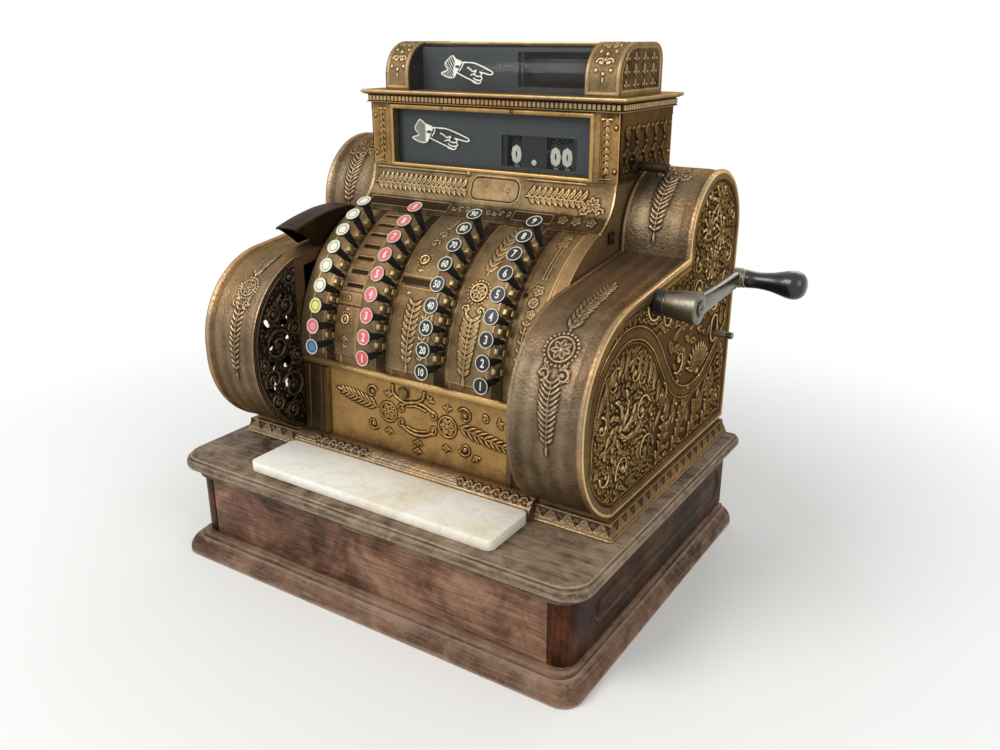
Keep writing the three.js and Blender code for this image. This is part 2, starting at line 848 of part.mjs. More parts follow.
function receiptHood() {
  const outer = alongX(hoodOutline(0), -hoodOuter, -hoodInner);
  const within = [-hoodOuter + hoodWall, -hoodInner - hoodWall];
  const dropped = alongX(hoodOutline(hoodWall), ...within);
  const underside = box(
    ...within,
    hoodFrontY - overrun,
    hoodHingeY - lugRadius,
    hoodHingeZ - hoodHeight,
    hoodHingeZ + hoodHeight * hoodMouthShare,
  );
  const pinX = hoodOuter + hoodPinEnd;
  const pin = rodX(-pinX, -hoodInner + hoodPinEnd, hoodHingeY, hoodHingeZ, hoodPin, smallSides);
  return join(cut(outer, dropped, underside), pin);
}

// Gears
const addendum = gearModule * addendumShare;
const dedendum = gearModule * dedendumShare;
const gearDistance = (gearModule * (pinionTeeth + mainTeeth)) / 2;
const gearAngle = Math.atan2(centreZ - crankZ, centreY - crankY);
const mainY = crankY + gearDistance * Math.cos(gearAngle);
const mainZ = crankZ + gearDistance * Math.sin(gearAngle);

// A spur gear along X with one tooth's middle turned to the given angle
function gear(teeth, turn, y, z) {
  const pitchRadius = (gearModule * teeth) / 2;
  const step = (2 * Math.PI) / teeth;
  const points = [];
  for (let i = 0; i < teeth; i += 1) {
    const flank = (radius, share) => {
      const angle = turn + (i + share) * step;
      points.push([y + radius * Math.cos(angle), z + radius * Math.sin(angle)]);
    };
    flank(pitchRadius - dedendum, -toothShares.root);
    flank(pitchRadius + addendum, -toothShares.tip);
    flank(pitchRadius + addendum, toothShares.tip);
    flank(pitchRadius - dedendum, toothShares.root);
  }
  return alongX(outline(points), gearX - gearWidth, gearX);
}

// Crank: pinion, shaft, collar, hub, arm, ferrule and the grip's spindle in one rigid piece
const hubX = caseOuter + seatGap;
const hubEndX = hubX + collarLength + hubLength;
const armX = hubEndX - armThickness;
const armEndY = crankY + armLength * Math.cos(armTilt);
const armEndZ = crankZ + armLength * Math.sin(armTilt);
const ferruleEndX = armX + ferruleLength;
const gripX = ferruleEndX + seatGap;

function crank() {
  const shaft = rodX(gearX - gearWidth, hubX + collarLength, crankY, crankZ, crankShaft);
  const hub = turnedX(
    [
      [0, 0],
      [0, collarRadius],
      [collarLength, collarRadius],
      [collarLength + hubLength, hubRadius],
      [collarLength + hubLength, 0],
    ],
    hubX,
    crankY,
    crankZ,
  );
  const corner = (y, z, width) => [y - Math.sin(armTilt) * width, z + Math.cos(armTilt) * width];
  const arm = alongX(
    outline([
      corner(crankY, crankZ, -armWidth / 2),
      corner(armEndY, armEndZ, -armEndWidth / 2),
      corner(armEndY, armEndZ, armEndWidth / 2),
      corner(crankY, crankZ, armWidth / 2),
    ]),
    armX,
    hubEndX,
  );
  const ferrule = rodX(armX, ferruleEndX, armEndY, armEndZ, ferruleRadius);
  const spindleX = ferruleEndX - overrun;
  const spindle = rodX(spindleX, gripX + spindleReach, armEndY, armEndZ, spindleRadius, smallSides);
  return join(gear(pinionTeeth, gearAngle, crankY, crankZ), shaft, hub, arm, ferrule, spindle);
}

// Turned wooden grip that spins on the spindle
function crankGrip() {
  const bore = spindleRadius + runGap;
  const boreEnd = spindleReach + runGap;
  const profile = [
    [boreEnd, 0],
    [boreEnd, bore],
    [0, bore],
    ...gripShares.map(([along, radius]) => [along * gripLength, radius * gripRadius]),
    [gripLength, 0],
  ];
  return turnedX(profile, gripX, armEndY, armEndZ);
}

// Main shaft with the large gear, whose gap faces the pinion's tooth
function mainGear() {
  const turn = gearAngle + Math.PI + Math.PI / mainTeeth;
  const end = frameX - seatGap;
  return join(gear(mainTeeth, turn, mainY, mainZ), rodX(-end, end, mainY, mainZ, mainShaft));
}

// Mechanism frame: two plates joined by tie rods, the key shaft and the indicator shaft
function mechanismFrame() {
  const reach = keyboardRadius - keyboardPlate - frameInset;
  const backEdge = cheekBackY - frameBackInset;
  const shoulderZ = towerZ - rearShoulder;
  const [frontEdge] = keyboardPoint(frameArcStart, reach);
  const side = new THREE.Shape();
  side.moveTo(...keyboardPoint(frameArcStart, reach));
  side.absarc(centreY, centreZ, reach, Math.PI - frameArcStart, Math.PI - frameArcEnd, true);
  side.lineTo(wheelY - frameHead, shoulderZ);
  side.lineTo(wheelY - frameHead, wheelZ + frameHead);
  side.lineTo(wheelY + frameHead, wheelZ + frameHead);
  side.lineTo(backEdge, shoulderZ);
  side.lineTo(backEdge, castingZ);
  side.lineTo(frontEdge, castingZ);
  const plates = [-frameX, frameX - framePlate].map((x) => alongX(side, x, x + framePlate));
  const rod = (y, z, radius) => {
    const end = frameX - framePlate / 2;
    return rodX(-end, end, y, z, radius, smallSides);
  };
  const rods = [
    rod(centreY, centreZ, keyShaft),
    rod(wheelY, wheelZ, wheelShaft),
    rod(frontEdge + tieInset, castingZ + tieInset, tieRod),
    rod(backEdge - tieInset, castingZ + tieInset, tieRod),
    rod(backEdge - tieInset, shoulderZ - tieInset, tieRod),
  ];
  const crankX = frameX - framePlate - overrun;
  const crankHole = rodX(crankX, frameX + overrun, crankY, crankZ, crankShaft + runGap);
  const mainHole = rodX(-frameX - overrun, frameX + overrun, mainY, mainZ, mainShaft + runGap);
  return cut(join(plates, rods), crankHole, mainHole);
}

// Ten-sided number wheel on the indicator shaft
function numberWheel(x) {
  const half = wheelWidth / 2;
  const wheel = rodX(x - half, x + half, wheelY, wheelZ, wheelRadius, wheelSides);
  const bore = wheelShaft + runGap;
  return cut(wheel, rodX(x - wheelWidth, x + wheelWidth, wheelY, wheelZ, bore, smallSides));
}

// Indicator housing: four walls and a moulded window frame in front
const windowZ = towerZ + windowSill;
const windowTopZ = windowZ + windowHeight;

function indicatorHousing() {
  const half = windowHalf;
  const shell = box(-towerHalf, towerHalf, towerFrontY, towerBackY, towerZ + seatGap, towerTopZ);
  const hollow = box(
    -towerHalf + housingWall,
    towerHalf - housingWall,
    towerFrontY + frontWall,
    towerBackY - housingWall,
    towerZ - overrun,
    towerTopZ + overrun,
  );
  const moulding = box(
    -half - frameMoulding,
    half + frameMoulding,
    towerFrontY - mouldingHeight,
    towerFrontY + overrun,
    towerZ + seatGap,
    windowTopZ + windowSill,
  );
  const opening = box(
    -half,
    half,
    towerFrontY - mouldingHeight - overrun,
    towerFrontY + frontWall + overrun,
    windowZ,
    windowTopZ,
  );
  return cut(join(shell, moulding), hollow, opening);
}

function indicatorGlass() {
  const half = windowHalf + glassLap;
  return box(-half, half, glassY, glassY + glassThickness, towerZ + 2 * seatGap, windowTopZ + windowSill);
}

// The sign box's hooded outline in (y, z), and where its drum turns
function signOutline(inset) {
  const y0 = signFrontY + inset;
  const y1 = signBackY - inset;
  const z1 = signZ + signHeight - inset;
  const front = signFrontRound - inset;
  const back = signBackRound - inset;
  const shape = new THREE.Shape();
  shape.moveTo(y0, signZ - overrun);
  shape.lineTo(y1, signZ - overrun);
  shape.absarc(y1 - back, z1 - back, back, 0, Math.PI / 2, false);
  shape.absarc(y0 + front, z1 - front, front, Math.PI / 2, Math.PI, false);
  return shape;
}

const flagY = (signFrontY + signBackY) / 2;
const flagZ = signZ + signHeight * flagHeightShare;
const signGlassY = signFrontY + signDepth * signGlassShare;
const glassLeft = signLeft + leftCap;
const glassRight = signRight - rightCap;

// Sign housing: cornice, two hollow end caps with bearings, the sheet over the top and the back
function signHousing() {
  const x1 = towerHalf + corniceReach;
  const y0 = towerFrontY - corniceReach;
  const y1 = towerBackY + corniceReach;
  const slabZ = signZ - corniceStep;
  const slab = box(-x1, x1, y0, y1, slabZ, signZ);
  const bed = box(-x1 + corniceStep, x1 - corniceStep, y0 + corniceStep, y1 - corniceStep, corniceZ,
    slabZ + overrun / 2);
  const capHollow = (xa, xb) => alongX(signOutline(signWall), xa, xb);
  const leftShell = cut(
    alongX(signOutline(0), signLeft, glassLeft),
    capHollow(signLeft + signWall, glassLeft + overrun),
  );
  const rightShell = cut(
    alongX(signOutline(0), glassRight, signRight),
    capHollow(glassRight - overrun, signRight - signWall),
  );
  const sheet = cut(
    alongX(signOutline(capReach), glassLeft - overrun, glassRight + overrun),
    alongX(signOutline(capReach + signWall), glassLeft - 2 * overrun, glassRight + 2 * overrun),
    box(signLeft, signRight, signFrontY - overrun, signGlassY, signZ - 2 * overrun, signZ + signHeight),
  );
  const bossRadius = flagShaft + bearingWall;
  const boss = (x) => rodX(x, x + bearingLength, flagY, flagZ, bossRadius, smallSides);
  const bosses = [boss(signLeft + signWall / 2), boss(signRight - signWall / 2 - bearingLength)];
  const under = box(-x1, x1, y0, y1, signZ - 2 * overrun, slabZ + overrun / 2);
  const upper = cut(join(leftShell, rightShell, sheet), under);
  const bore = rodX(signLeft + signWall, signRight - signWall, flagY, flagZ, flagShaft + runGap, smallSides);
  return cut(join(slab, bed, upper, bosses), bore);
}

// Curved glass between the caps
function signGlass() {
  const outer = alongX(signOutline(capReach), glassLeft + seatGap, glassRight - seatGap);
  const inner = alongX(signOutline(capReach + glassThickness), signLeft, signRight);
  const frontOnly = box(
    signLeft,
    signRight,
    signFrontY - overrun,
    signGlassY - seatGap,
    signZ + seatGap,
    signZ + signHeight,
  );
  return cut(outer, inner).intersect(frontOnly);
}

// Four-sided flag drum on its shaft
function signDrum() {
  const x1 = glassRight - glassLap;
  const end = signWall + seatGap;
  const body = rodX(x1 - flagWidth, x1, flagY, flagZ, flagRadius, flagSides);
  const shaft = rodX(signLeft + end, signRight - end, flagY, flagZ, flagShaft, smallSides);
  return join(body, shaft);
}

// Rear cover with a shoulder that slopes up to the tower
function rearCover() {
  const innerY = machineBackY - rearThickness;
  const shoulderZ = towerZ - rearShoulder;
  const lipZ = towerZ + rearShoulder / 2;
  const section = outline([
    [innerY, castingZ],
    [machineBackY, castingZ],
    [machineBackY, shoulderZ],
    [towerBackY + rearThickness, lipZ],
    [towerBackY + seatGap, lipZ],
    [towerBackY + seatGap, towerZ + seatGap],
    [innerY, shoulderZ + seatGap],
  ]);
  return alongX(section, -caseInner + seatGap, caseInner - seatGap);
}

// Stud with a flange behind the right casting's wall, sliding up and down in its slot
function sideStud() {
  const flangeX = studWallX - seatGap - studFlangeThickness;
  const length = caseOuter + studReach - flangeX;
  const profile = [
    [0, 0],
    [0, studFlange],
    [studFlangeThickness, studFlange],
    [studFlangeThickness, studRadius],
    [length, studRadius],
    [length, 0],
  ];
  return turnedX(profile, flangeX, studY, studZ, cupSides);
}

// Finishes
function finish(color, roughness, metalness) {
  return new THREE.MeshStandardMaterial({ color, roughness, metalness });
}

const oak = finish(0x5c3524, 0.45, 0);
const pine = finish(0x9a7448, 0.7, 0);
const marble = finish(0xe9e3d3, 0.25, 0);
const brass = finish(0xa8794a, 0.4, 0.9);
const darkBrass = finish(0x6b5642, 0.45, 0.9);
const steel = finish(0x55524d, 0.5, 0.8);
const nickel = finish(0xb9bab6, 0.3, 0.9);
const ebony = finish(0x141212, 0.2, 0);
const glass = finish(0x55606a, 0.08, 0);
const ivory = finish(0xe9e8d2, 0.35, 0);
const redKey = finish(0xd85f5f, 0.35, 0);
const blackKey = finish(0x2c302e, 0.35, 0);
const black = finish(0x22211f, 0.4, 0.3);

const register = new THREE.Group();

function place(name, body, material, parent = register) {
  const geometry = body.isBufferGeometry ? body : geometryOf(body);
  const mesh = new THREE.Mesh(geometry, material);
  mesh.name = name;
  parent.add(mesh);
  return mesh;
}

place("cabinet", cabinet(), oak);
place("drawer", drawer(), oak);
place("till_tray", tillTray(), pine);
place("marble_sill", marbleSill(), marble);
place("base_frame", baseFrame(), brass);
place("keyboard_casting", keyboardCasting(), brass);
place("front_panel", frontPanel(), brass);
place("left_casting", leftCasting(), darkBrass);
place("right_casting", rightCasting(), darkBrass);
place("receipt_hood", receiptHood(), black);
place("crank", crank(), nickel);
place("crank_grip", crankGrip(), ebony);
place("main_gear", mainGear(), steel);
place("mechanism_frame", mechanismFrame(), steel);
place("indicator_housing", indicatorHousing(), brass);
place("indicator_glass", indicatorGlass(), glass);
Object.entries(wheelPlaces).forEach(([name, x]) => place(name, numberWheel(x), black));
place("sign_housing", signHousing(), brass);
place("sign_glass", signGlass(), glass);
place("sign_drum", signDrum(), black);
place("rear_cover", rearCover(), brass);
place("side_stud", sideStud(), nickel);

// Keys: each column's fan of keys turns about the keyboard's centre
const keyFinishes = [ivory, redKey, blackKey, blackKey];
keyColumns.forEach((x, column) => {
  for (let i = 0; i < keysPerColumn; i += 1) {
    const mesh = place(`key_${column + 1}_${i + 1}`, key(), keyFinishes[column]);
    mesh.position.set(x, centreY, centreZ);
    mesh.rotation.x = Math.PI - (keyFirst + i * keyPitch);
  }
});

export default register;
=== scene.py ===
"""Looks of the cash register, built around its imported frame.

Sizes are in millimetres until a mesh is made. The CAD nodes stay as the backing, and thin skins with
raised ornament lie over them.
"""
import math

import bmesh
import bpy
import numpy as np
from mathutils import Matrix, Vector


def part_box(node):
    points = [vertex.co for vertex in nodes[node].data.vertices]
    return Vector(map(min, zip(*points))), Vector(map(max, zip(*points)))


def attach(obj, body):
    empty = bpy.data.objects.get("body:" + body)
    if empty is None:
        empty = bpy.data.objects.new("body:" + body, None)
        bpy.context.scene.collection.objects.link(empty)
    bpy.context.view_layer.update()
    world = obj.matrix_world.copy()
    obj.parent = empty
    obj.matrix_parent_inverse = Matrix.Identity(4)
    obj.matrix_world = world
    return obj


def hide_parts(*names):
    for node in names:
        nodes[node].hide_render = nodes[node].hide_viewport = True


MM = 0.001
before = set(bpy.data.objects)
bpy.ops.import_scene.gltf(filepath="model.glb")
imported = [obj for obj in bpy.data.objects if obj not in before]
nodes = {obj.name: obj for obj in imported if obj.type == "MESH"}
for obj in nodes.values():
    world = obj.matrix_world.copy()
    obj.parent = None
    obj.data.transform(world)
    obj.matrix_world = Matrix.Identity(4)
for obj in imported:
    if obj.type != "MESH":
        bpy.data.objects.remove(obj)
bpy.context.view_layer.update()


def corners(node):
    """Lowest and highest corner of a CAD node in millimetres."""
    low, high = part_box(node)
    return np.array(low) / MM, np.array(high) / MM


# ---------------------------------------------------------------- materials
def srgb(red, green, blue):
    """Linear colour of an sRGB triple of 0 to 255."""
    shares = (value / 255 for value in (red, green, blue))
    return (*(c / 12.92 if c <= 0.04045 else ((c + 0.055) / 1.055) ** 2.4 for c in shares), 1.0)


COPPER_BLUSH = (1.3, 0.94, 0.64, 1.0)  # linear factors


class Shader:
    """One node material; its textures lie in the piece's own space."""

    def __init__(self, name, **constants):
        self.material = bpy.data.materials.new(name)
        self.material.use_nodes = True
        self.tree = self.material.node_tree
        self.surface = self.tree.nodes["Principled BSDF"]
        for socket, value in constants.items():
            self.surface.inputs[socket.replace("_", " ")].default_value = value
        self.place = self.tree.nodes.new("ShaderNodeTexCoord").outputs["Object"]

    def add(self, kind, inputs=(), **settings):
        node = self.tree.nodes.new("ShaderNode" + kind)
        for key, value in settings.items():
            setattr(node, key, value)
        for key, value in dict(inputs).items():
            if isinstance(value, bpy.types.NodeSocket):
                self.tree.links.new(value, node.inputs[key])
            else:
                node.inputs[key].default_value = value
        return node

    def noise(self, scale, detail=4.0, rough=0.6, stretch=None, distortion=0.0):
        vector = self.place
        if stretch:
            vector = self.add("Mapping", {"Vector": self.place, "Scale": stretch}).outputs["Vector"]
        inputs = {"Vector": vector, "Scale": scale, "Detail": detail, "Roughness": rough,
                  "Distortion": distortion}
        return self.add("TexNoise", inputs).outputs["Fac"]

    def math(self, operation, first, second=0.0):
        return self.add("Math", {0: first, 1: second}, operation=operation).outputs[0]

    def total(self, *terms):
        """Sum of (socket, factor, offset) terms: factor * (socket + offset)."""
        result = None
        for socket, factor, offset in terms:
            term = self.math("MULTIPLY", self.math("ADD", socket, offset), factor)
            result = term if result is None else self.math("ADD", result, term)
        return result

    def ramp(self, factor, stops):
        """A colour ramp with stops of (position, sRGB triple)."""
        stops = list(stops)
        node = self.add("ValToRGB", {"Fac": factor})
        elements = node.color_ramp.elements
        while len(elements) < len(stops):
            elements.new(1.0)
        for element, (position, color) in zip(elements, stops):
            element.position, element.color = position, srgb(*color)
        return node.outputs["Color"]

    def range(self, factor, low, high, to_low, to_high):
        inputs = {"Value": factor, "From Min": low, "From Max": high, "To Min": to_low, "To Max": to_high}
        return self.add("MapRange", inputs).outputs["Result"]

    def mix(self, factor, first, second, blend="MIX"):
        node = self.add("Mix", data_type="RGBA", blend_type=blend)
        for index, value in ((0, factor), (6, first), (7, second)):
            if isinstance(value, bpy.types.NodeSocket):
                self.tree.links.new(value, node.inputs[index])
            else:
                node.inputs[index].default_value = value
        return node.outputs[2]

    def attribute(self, name):
        return self.add("Attribute", attribute_name=name).outputs["Fac"]

    def link(self, socket, value):
        self.tree.links.new(value, self.surface.inputs[socket])

    def bump(self, height, distance, strength=1.0):
        node = self.add("Bump", {"Height": height, "Distance": distance, "Strength": strength})
        self.link("Normal", node.outputs["Normal"])


def cast_metal(name, tones, lift=0.34, hammer=0.00025, metallic=0.85, rough=(0.62, 0.34), blush=0.0):
    """Cast metal in four tones, with coppery clouds: darker in its recesses, as patina and painted shade,
    and brighter on what stands out, as rubbing and painted highlight."""
    s = Shader(name, Metallic=metallic, Specular_Tint=srgb(198, 172, 134))
    # per point: rubbing and patina together with painted highlight and painted shade
    shine = s.attribute("shine")
    tone = s.total((shine, 0.75, lift), (s.noise(8.0), 0.5, -0.5), (s.noise(45.0, 8.0, 0.7), 0.55, -0.5),
                   (s.noise(260.0, 3.0), 0.22, -0.5))
    clouds = s.range(s.noise(6.5, 2.0, 0.5, None, 0.6), 0.42, 0.62, 0.0, blush)
    color = s.ramp(tone, zip((0.0, 0.34, 0.66, 1.0), tones))
    s.link("Base Color", s.mix(clouds, color, COPPER_BLUSH, "MULTIPLY"))
    s.link("Roughness", s.range(tone, 0.1, 0.9, *rough))
    pits = s.add("TexVoronoi", {"Vector": s.place, "Scale": 330.0}).outputs["Distance"]
    s.bump(s.total((pits, 0.6, 0.0), (s.noise(700.0, 3.0), 0.5, 0.0)), hammer)
    return s.material


def wood(name, along, tones, wear, rough=0.45, tight=1.0, gloss=0.1):
    """Varnished timber, dark, body, light and worn, with its grain along the axis numbered by along; the worn
    tone also serves as the painted highlight on the side walls' groove.
    """
    dark, body, light, worn_and_highlight = tones
    s = Shader(name, Coat_Weight=gloss, Coat_Roughness=0.3, Specular_IOR_Level=0.12)
    stretch = [7.0 * tight] * 3
    stretch[along] = 0.7
    rings = s.noise(4.0, 5.0, 0.6, stretch, 0.8)
    fine = [60.0] * 3
    fine[along] = 2.5
    pores = s.noise(9.0, 3.0, 0.6, fine)
    clouds = s.noise(16.0, 6.0, 0.65, None, 1.0)
    tone = s.total((rings, 0.5, 0.0), (pores, 0.6, -0.5), (clouds, 1.05, -0.51), (s.noise(3.5), 0.9, -0.5),
                   (s.noise(90.0, 4.0, 0.7), 0.3, -0.5))
    color = s.ramp(tone, [(0.0, dark), (0.25, body), (0.5, light), (1.0, light)])
    blotches = s.noise(28.0, 8.0, 0.75, None, 1.5)
    # worn edges and blotches, and on the side walls painted highlight and painted shade from the point
    # attribute
    scuffs_and_painted_light = s.total((s.attribute("wear"), 0.9, 0.0), (blotches, 1.4, -0.58 + wear), (pores, 0.35, -0.5))
    faded_and_painted_light = s.range(scuffs_and_painted_light, 0.12, 0.62, 0.0, 0.85)
    s.link("Base Color", s.mix(faded_and_painted_light, color, srgb(*worn_and_highlight)))
    s.link("Roughness", s.range(faded_and_painted_light, 0.0, 1.0, rough, 0.75))
    s.bump(s.total((pores, 0.7, 0.0), (rings, 0.3, 0.0)), 0.0004, 0.8)
    return s.material


def enamel(name, color, rough=0.28, grime=0.16, coat=0.3):
    """Smooth enamel, japan or celluloid with faint dirt."""
    s = Shader(name, Coat_Weight=coat, Coat_Roughness=0.12, Specular_IOR_Level=0.3)
    color = srgb(*color)
    dirt = s.noise(190.0, 6.0, 0.7)
    dull = tuple(c * 0.55 for c in color[:3]) + (1.0,)
    s.link("Base Color", s.mix(s.range(dirt, 0.5, 0.78, 0.0, 5 * grime), color, dull))
    s.link("Roughness", s.range(dirt, 0.3, 0.8, rough, rough + 0.25))
    s.bump(s.noise(900.0, 2.0), 0.00006)
    return s.material


def plated(name, color, dull, rough=0.2):
    """Nickel or steel with tarnish."""
    s = Shader(name, Metallic=1.0)
    tarnish = s.total((s.noise(26.0, 8.0, 0.7), 1.5, -0.2), (s.noise(300.0, 3.0), 0.3, -0.5))
    s.link("Base Color", s.ramp(tarnish, [(0.25, color), (0.5, color), (0.85, dull)]))
    s.link("Roughness", s.range(tarnish, 0.2, 0.8, rough, rough + 0.25))
    s.bump(s.noise(200.0, 4.0), 0.00006)
    return s.material


def stone(name):
    s = Shader(name, Coat_Weight=0.25, Coat_Roughness=0.15)
    drift = s.noise(7.0, 6.0, 0.6, None, 1.5)
    vein = s.math("ABSOLUTE", s.math("SUBTRACT", s.noise(11.0, 7.0, 0.65, None, 2.2), 0.5))
    base = s.ramp(drift, [(0.3, (255, 254, 248)), (0.5, (250, 247, 234)), (0.7, (232, 218, 186))])
    veins = s.range(vein, 0.0, 0.03, 0.22, 0.0)
    stained = s.mix(veins, base, srgb(190, 172, 136))
    spots = s.range(s.noise(120.0, 4.0, 0.7), 0.68, 0.76, 0.0, 0.4)
    s.link("Base Color", s.mix(spots, stained, srgb(150, 132, 100)))
    s.link("Roughness", s.range(drift, 0.3, 0.7, 0.3, 0.5))
    s.bump(s.noise(160.0, 5.0), 0.00015)
    return s.material


def clear_glass(name, tint):
    """Thin old glass over a dark ground, with a film of dust."""
    s = Shader(name, Roughness=0.08)
    film = s.noise(9.0, 3.0, 0.5, None, 0.8)
    s.link("Base Color", s.mix(s.range(film, 0.4, 0.7, 0.0, 0.5), srgb(*tint), srgb(78, 82, 82)))
    s.link("Alpha", s.range(film, 0.3, 0.75, 0.06, 0.14))
    return s.material


brass = cast_metal("cast_brass", ((52, 42, 30), (134, 115, 85), (167, 144, 106), (220, 194, 144)), blush=0.4)
gilt = cast_metal("rubbed_brass", ((54, 38, 22), (158, 124, 76), (188, 152, 98), (232, 202, 148)),
                  rough=(0.52, 0.28))
band_metal = cast_metal("hammered_brass", ((58, 48, 37), (122, 105, 83), (164, 142, 112), (230, 206, 162)),
                        hammer=0.0006, rough=(0.5, 0.3), blush=0.5)
side_metal = cast_metal("carved_brass", ((30, 22, 14), (90, 71, 46), (132, 105, 66), (238, 208, 150)), 0.32,
                        rough=(0.5, 0.22))
tab_brass = cast_metal("tab_brass", ((86, 70, 44), (158, 136, 94), (196, 174, 126), (232, 216, 172)), 0.3,
                       rough=(0.5, 0.32))
dark_metal = cast_metal("black_iron", ((20, 17, 14), (44, 37, 30), (78, 65, 52), (128, 106, 82)), 0.25,
                        metallic=0.6)
hood_metal = cast_metal("browned_sheet", ((14, 10, 6), (27, 20, 11), (42, 32, 19), (84, 66, 42)), 0.28,
                        metallic=0.5, rough=(0.5, 0.3))
nickel = plated("nickel", (118, 112, 97), (70, 58, 40), 0.26)
steel = plated("steel", (120, 116, 108), (72, 60, 48), 0.35)
BOARD = ((52, 37, 27), (100, 80, 62), (142, 121, 97), (166, 150, 127)), 0.07, 0.55, 0.7, 0.04
PLINTH = ((60, 42, 31), (110, 83, 65), (138, 109, 87), (160, 138, 117)), 0.02, 0.55, 0.8, 0.04
board_wood, board_side = wood("top_board_oak", 0, *BOARD), wood("top_board_ends", 1, *BOARD)
plinth_wood, plinth_side = wood("plinth_oak", 0, *PLINTH), wood("plinth_ends", 1, *PLINTH)
DRAWER = ((56, 35, 25), (110, 78, 60), (154, 119, 96), (150, 128, 110)), -0.08
POSTS = ((20, 8, 3), (52, 23, 7), (96, 50, 17), (96, 72, 52)), -0.2, 0.38
# the walls' worn tone also paints the highlight on the side walls' groove
WALLS = ((20, 11, 5), (48, 27, 13), (78, 50, 28), (100, 82, 62)), -0.1, 0.46
TRAY = ((120, 84, 48), (160, 118, 74), (186, 146, 98), (140, 118, 92)), -0.05, 0.6
front_wood, tray_wood = wood("drawer_oak", 0, *DRAWER, gloss=0.05), wood("tray_pine", 0, *TRAY)
post_wood, wall_wood = wood("post_oak", 2, *POSTS, gloss=0.05), wood("wall_oak", 1, *WALLS, gloss=0.0)
marble = stone("cream_marble")
key_black = enamel("key_black", (26, 28, 27), 0.4, 0.12, 0.1)
key_red = enamel("key_red", (206, 78, 80))
key_rose = enamel("key_rose", (214, 100, 106))
key_cream = enamel("key_cream", (232, 230, 208))
key_blue = enamel("key_blue", (84, 116, 152))
key_pink = enamel("key_pink", (226, 134, 138))
key_yellow = enamel("key_yellow", (214, 212, 118))
ink_white = enamel("figure_white", (228, 228, 214), 0.4, coat=0.0)
key_rim = enamel("key_rim", (206, 206, 188), 0.4, 0.2, 0.1)
black_japan = enamel("black_japan", (24, 23, 23), 0.35, 0.1, 0.1)
ebony = enamel("ebonised_wood", (16, 14, 14), 0.16, 0.1, 0.6)
figure_paint = enamel("figure_paint", (218, 218, 202), 0.5, 0.12, 0.0)
window_dark = enamel("window_ground", (65, 69, 70), 0.5, 0.03, 0.0)
glass = clear_glass("old_glass", (64, 68, 69))


# ---------------------------------------------------------------- mesh building
SHARP_EDGE = math.radians(32)


def stack(*columns):
    """Points from their coordinates, where a number stands for a whole column."""
    return np.column_stack(np.broadcast_arrays(*columns))


class Piece:
    """Gathers closed forms, in millimetres, into one mesh with several finishes."""

    def __init__(self):
        self.points, self.faces, self.slots, self.wear, self.count = [], [], [], [], 0

    def add(self, form, slot=0, wear=0.0):
        points, faces = form
        points = np.asarray(points, float).reshape(-1, 3)
        self.points.append(points)
        self.faces += [tuple(index + self.count for index in face) for face in faces]
        self.slots += [slot] * len(faces) if np.isscalar(slot) else list(slot)
        self.wear.append(np.broadcast_to(np.asarray(wear, float), len(points)))
        self.count += len(points)
        return self

    def mesh(self, name):
        mesh = bpy.data.meshes.new(name)
        mesh.from_pydata((np.concatenate(self.points) * MM).tolist(), [], self.faces)
        return mesh

    def make(self, name, materials, body="register", replaces=(), slot=None):
        mesh = self.mesh(name)
        mesh.polygons.foreach_set("material_index", self.slots)
        # the same values serve as wear and as painted light
        for layer in ("wear", "shine"):
            set_values(mesh, layer, np.concatenate(self.wear))
        work = bmesh.new()
        work.from_mesh(mesh)
        bmesh.ops.recalc_face_normals(work, faces=work.faces)
        work.to_mesh(mesh)
        work.free()
        return finish_piece(name, mesh, materials, body, replaces, SHARP_EDGE)


def set_values(mesh, layer, values):
    """Stores one number a point, which the materials read."""
    attribute = mesh.attributes.new(layer, "FLOAT", "POINT")
    attribute.data.foreach_set("value", np.asarray(values, np.float32))


def link_object(name, data):
    obj = bpy.data.objects.new(name, data)
    bpy.context.scene.collection.objects.link(obj)
    return obj


def worked_out(obj):
    """A mesh of an object as its modifiers or its curve make it."""
    bpy.context.view_layer.update()
    return bpy.data.meshes.new_from_object(obj.evaluated_get(bpy.context.evaluated_depsgraph_get()))


def finish_piece(name, mesh, materials, body, replaces, sharp):
    """Adds a mesh to the scene as a piece that rides on a body of the frame."""
    for material in materials:
        mesh.materials.append(material)
    mesh.shade_smooth()
    if sharp:
        mesh.set_sharp_from_angle(angle=sharp)
    obj = link_object(name, mesh)
    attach(obj, body)
    if replaces:
        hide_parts(*replaces)
    return obj


def box(low, high, bevel=0.6, segments=2):
    """A block with rounded edges."""
    work = bmesh.new()
    bmesh.ops.create_cube(work, size=1.0)
    low, high = np.array(low, float), np.array(high, float)
    bmesh.ops.scale(work, vec=high - low, verts=work.verts)
    bmesh.ops.translate(work, vec=(low + high) / 2, verts=work.verts)
    if bevel:
        bmesh.ops.bevel(work, geom=work.edges[:], offset=bevel, segments=segments, profile=0.5,
                        affect="EDGES")
    form = ([tuple(v.co) for v in work.verts], [[v.index for v in f.verts] for f in work.faces])
    work.free()
    return form


def rings_form(rings, closed_ends=True):
    """Faces between rings of equal length, with the two ends closed."""
    count = len(rings[0])
    points = np.concatenate(rings)
    faces = []
    for level in range(len(rings) - 1):
        for i in range(count):
            j = (i + 1) % count
            a, b = level * count, (level + 1) * count
            faces.append((a + i, a + j, b + j, b + i))
    if closed_ends:
        faces.append(tuple(range(count))[::-1])
        faces.append(tuple(range((len(rings) - 1) * count, len(rings) * count)))
    return points, faces


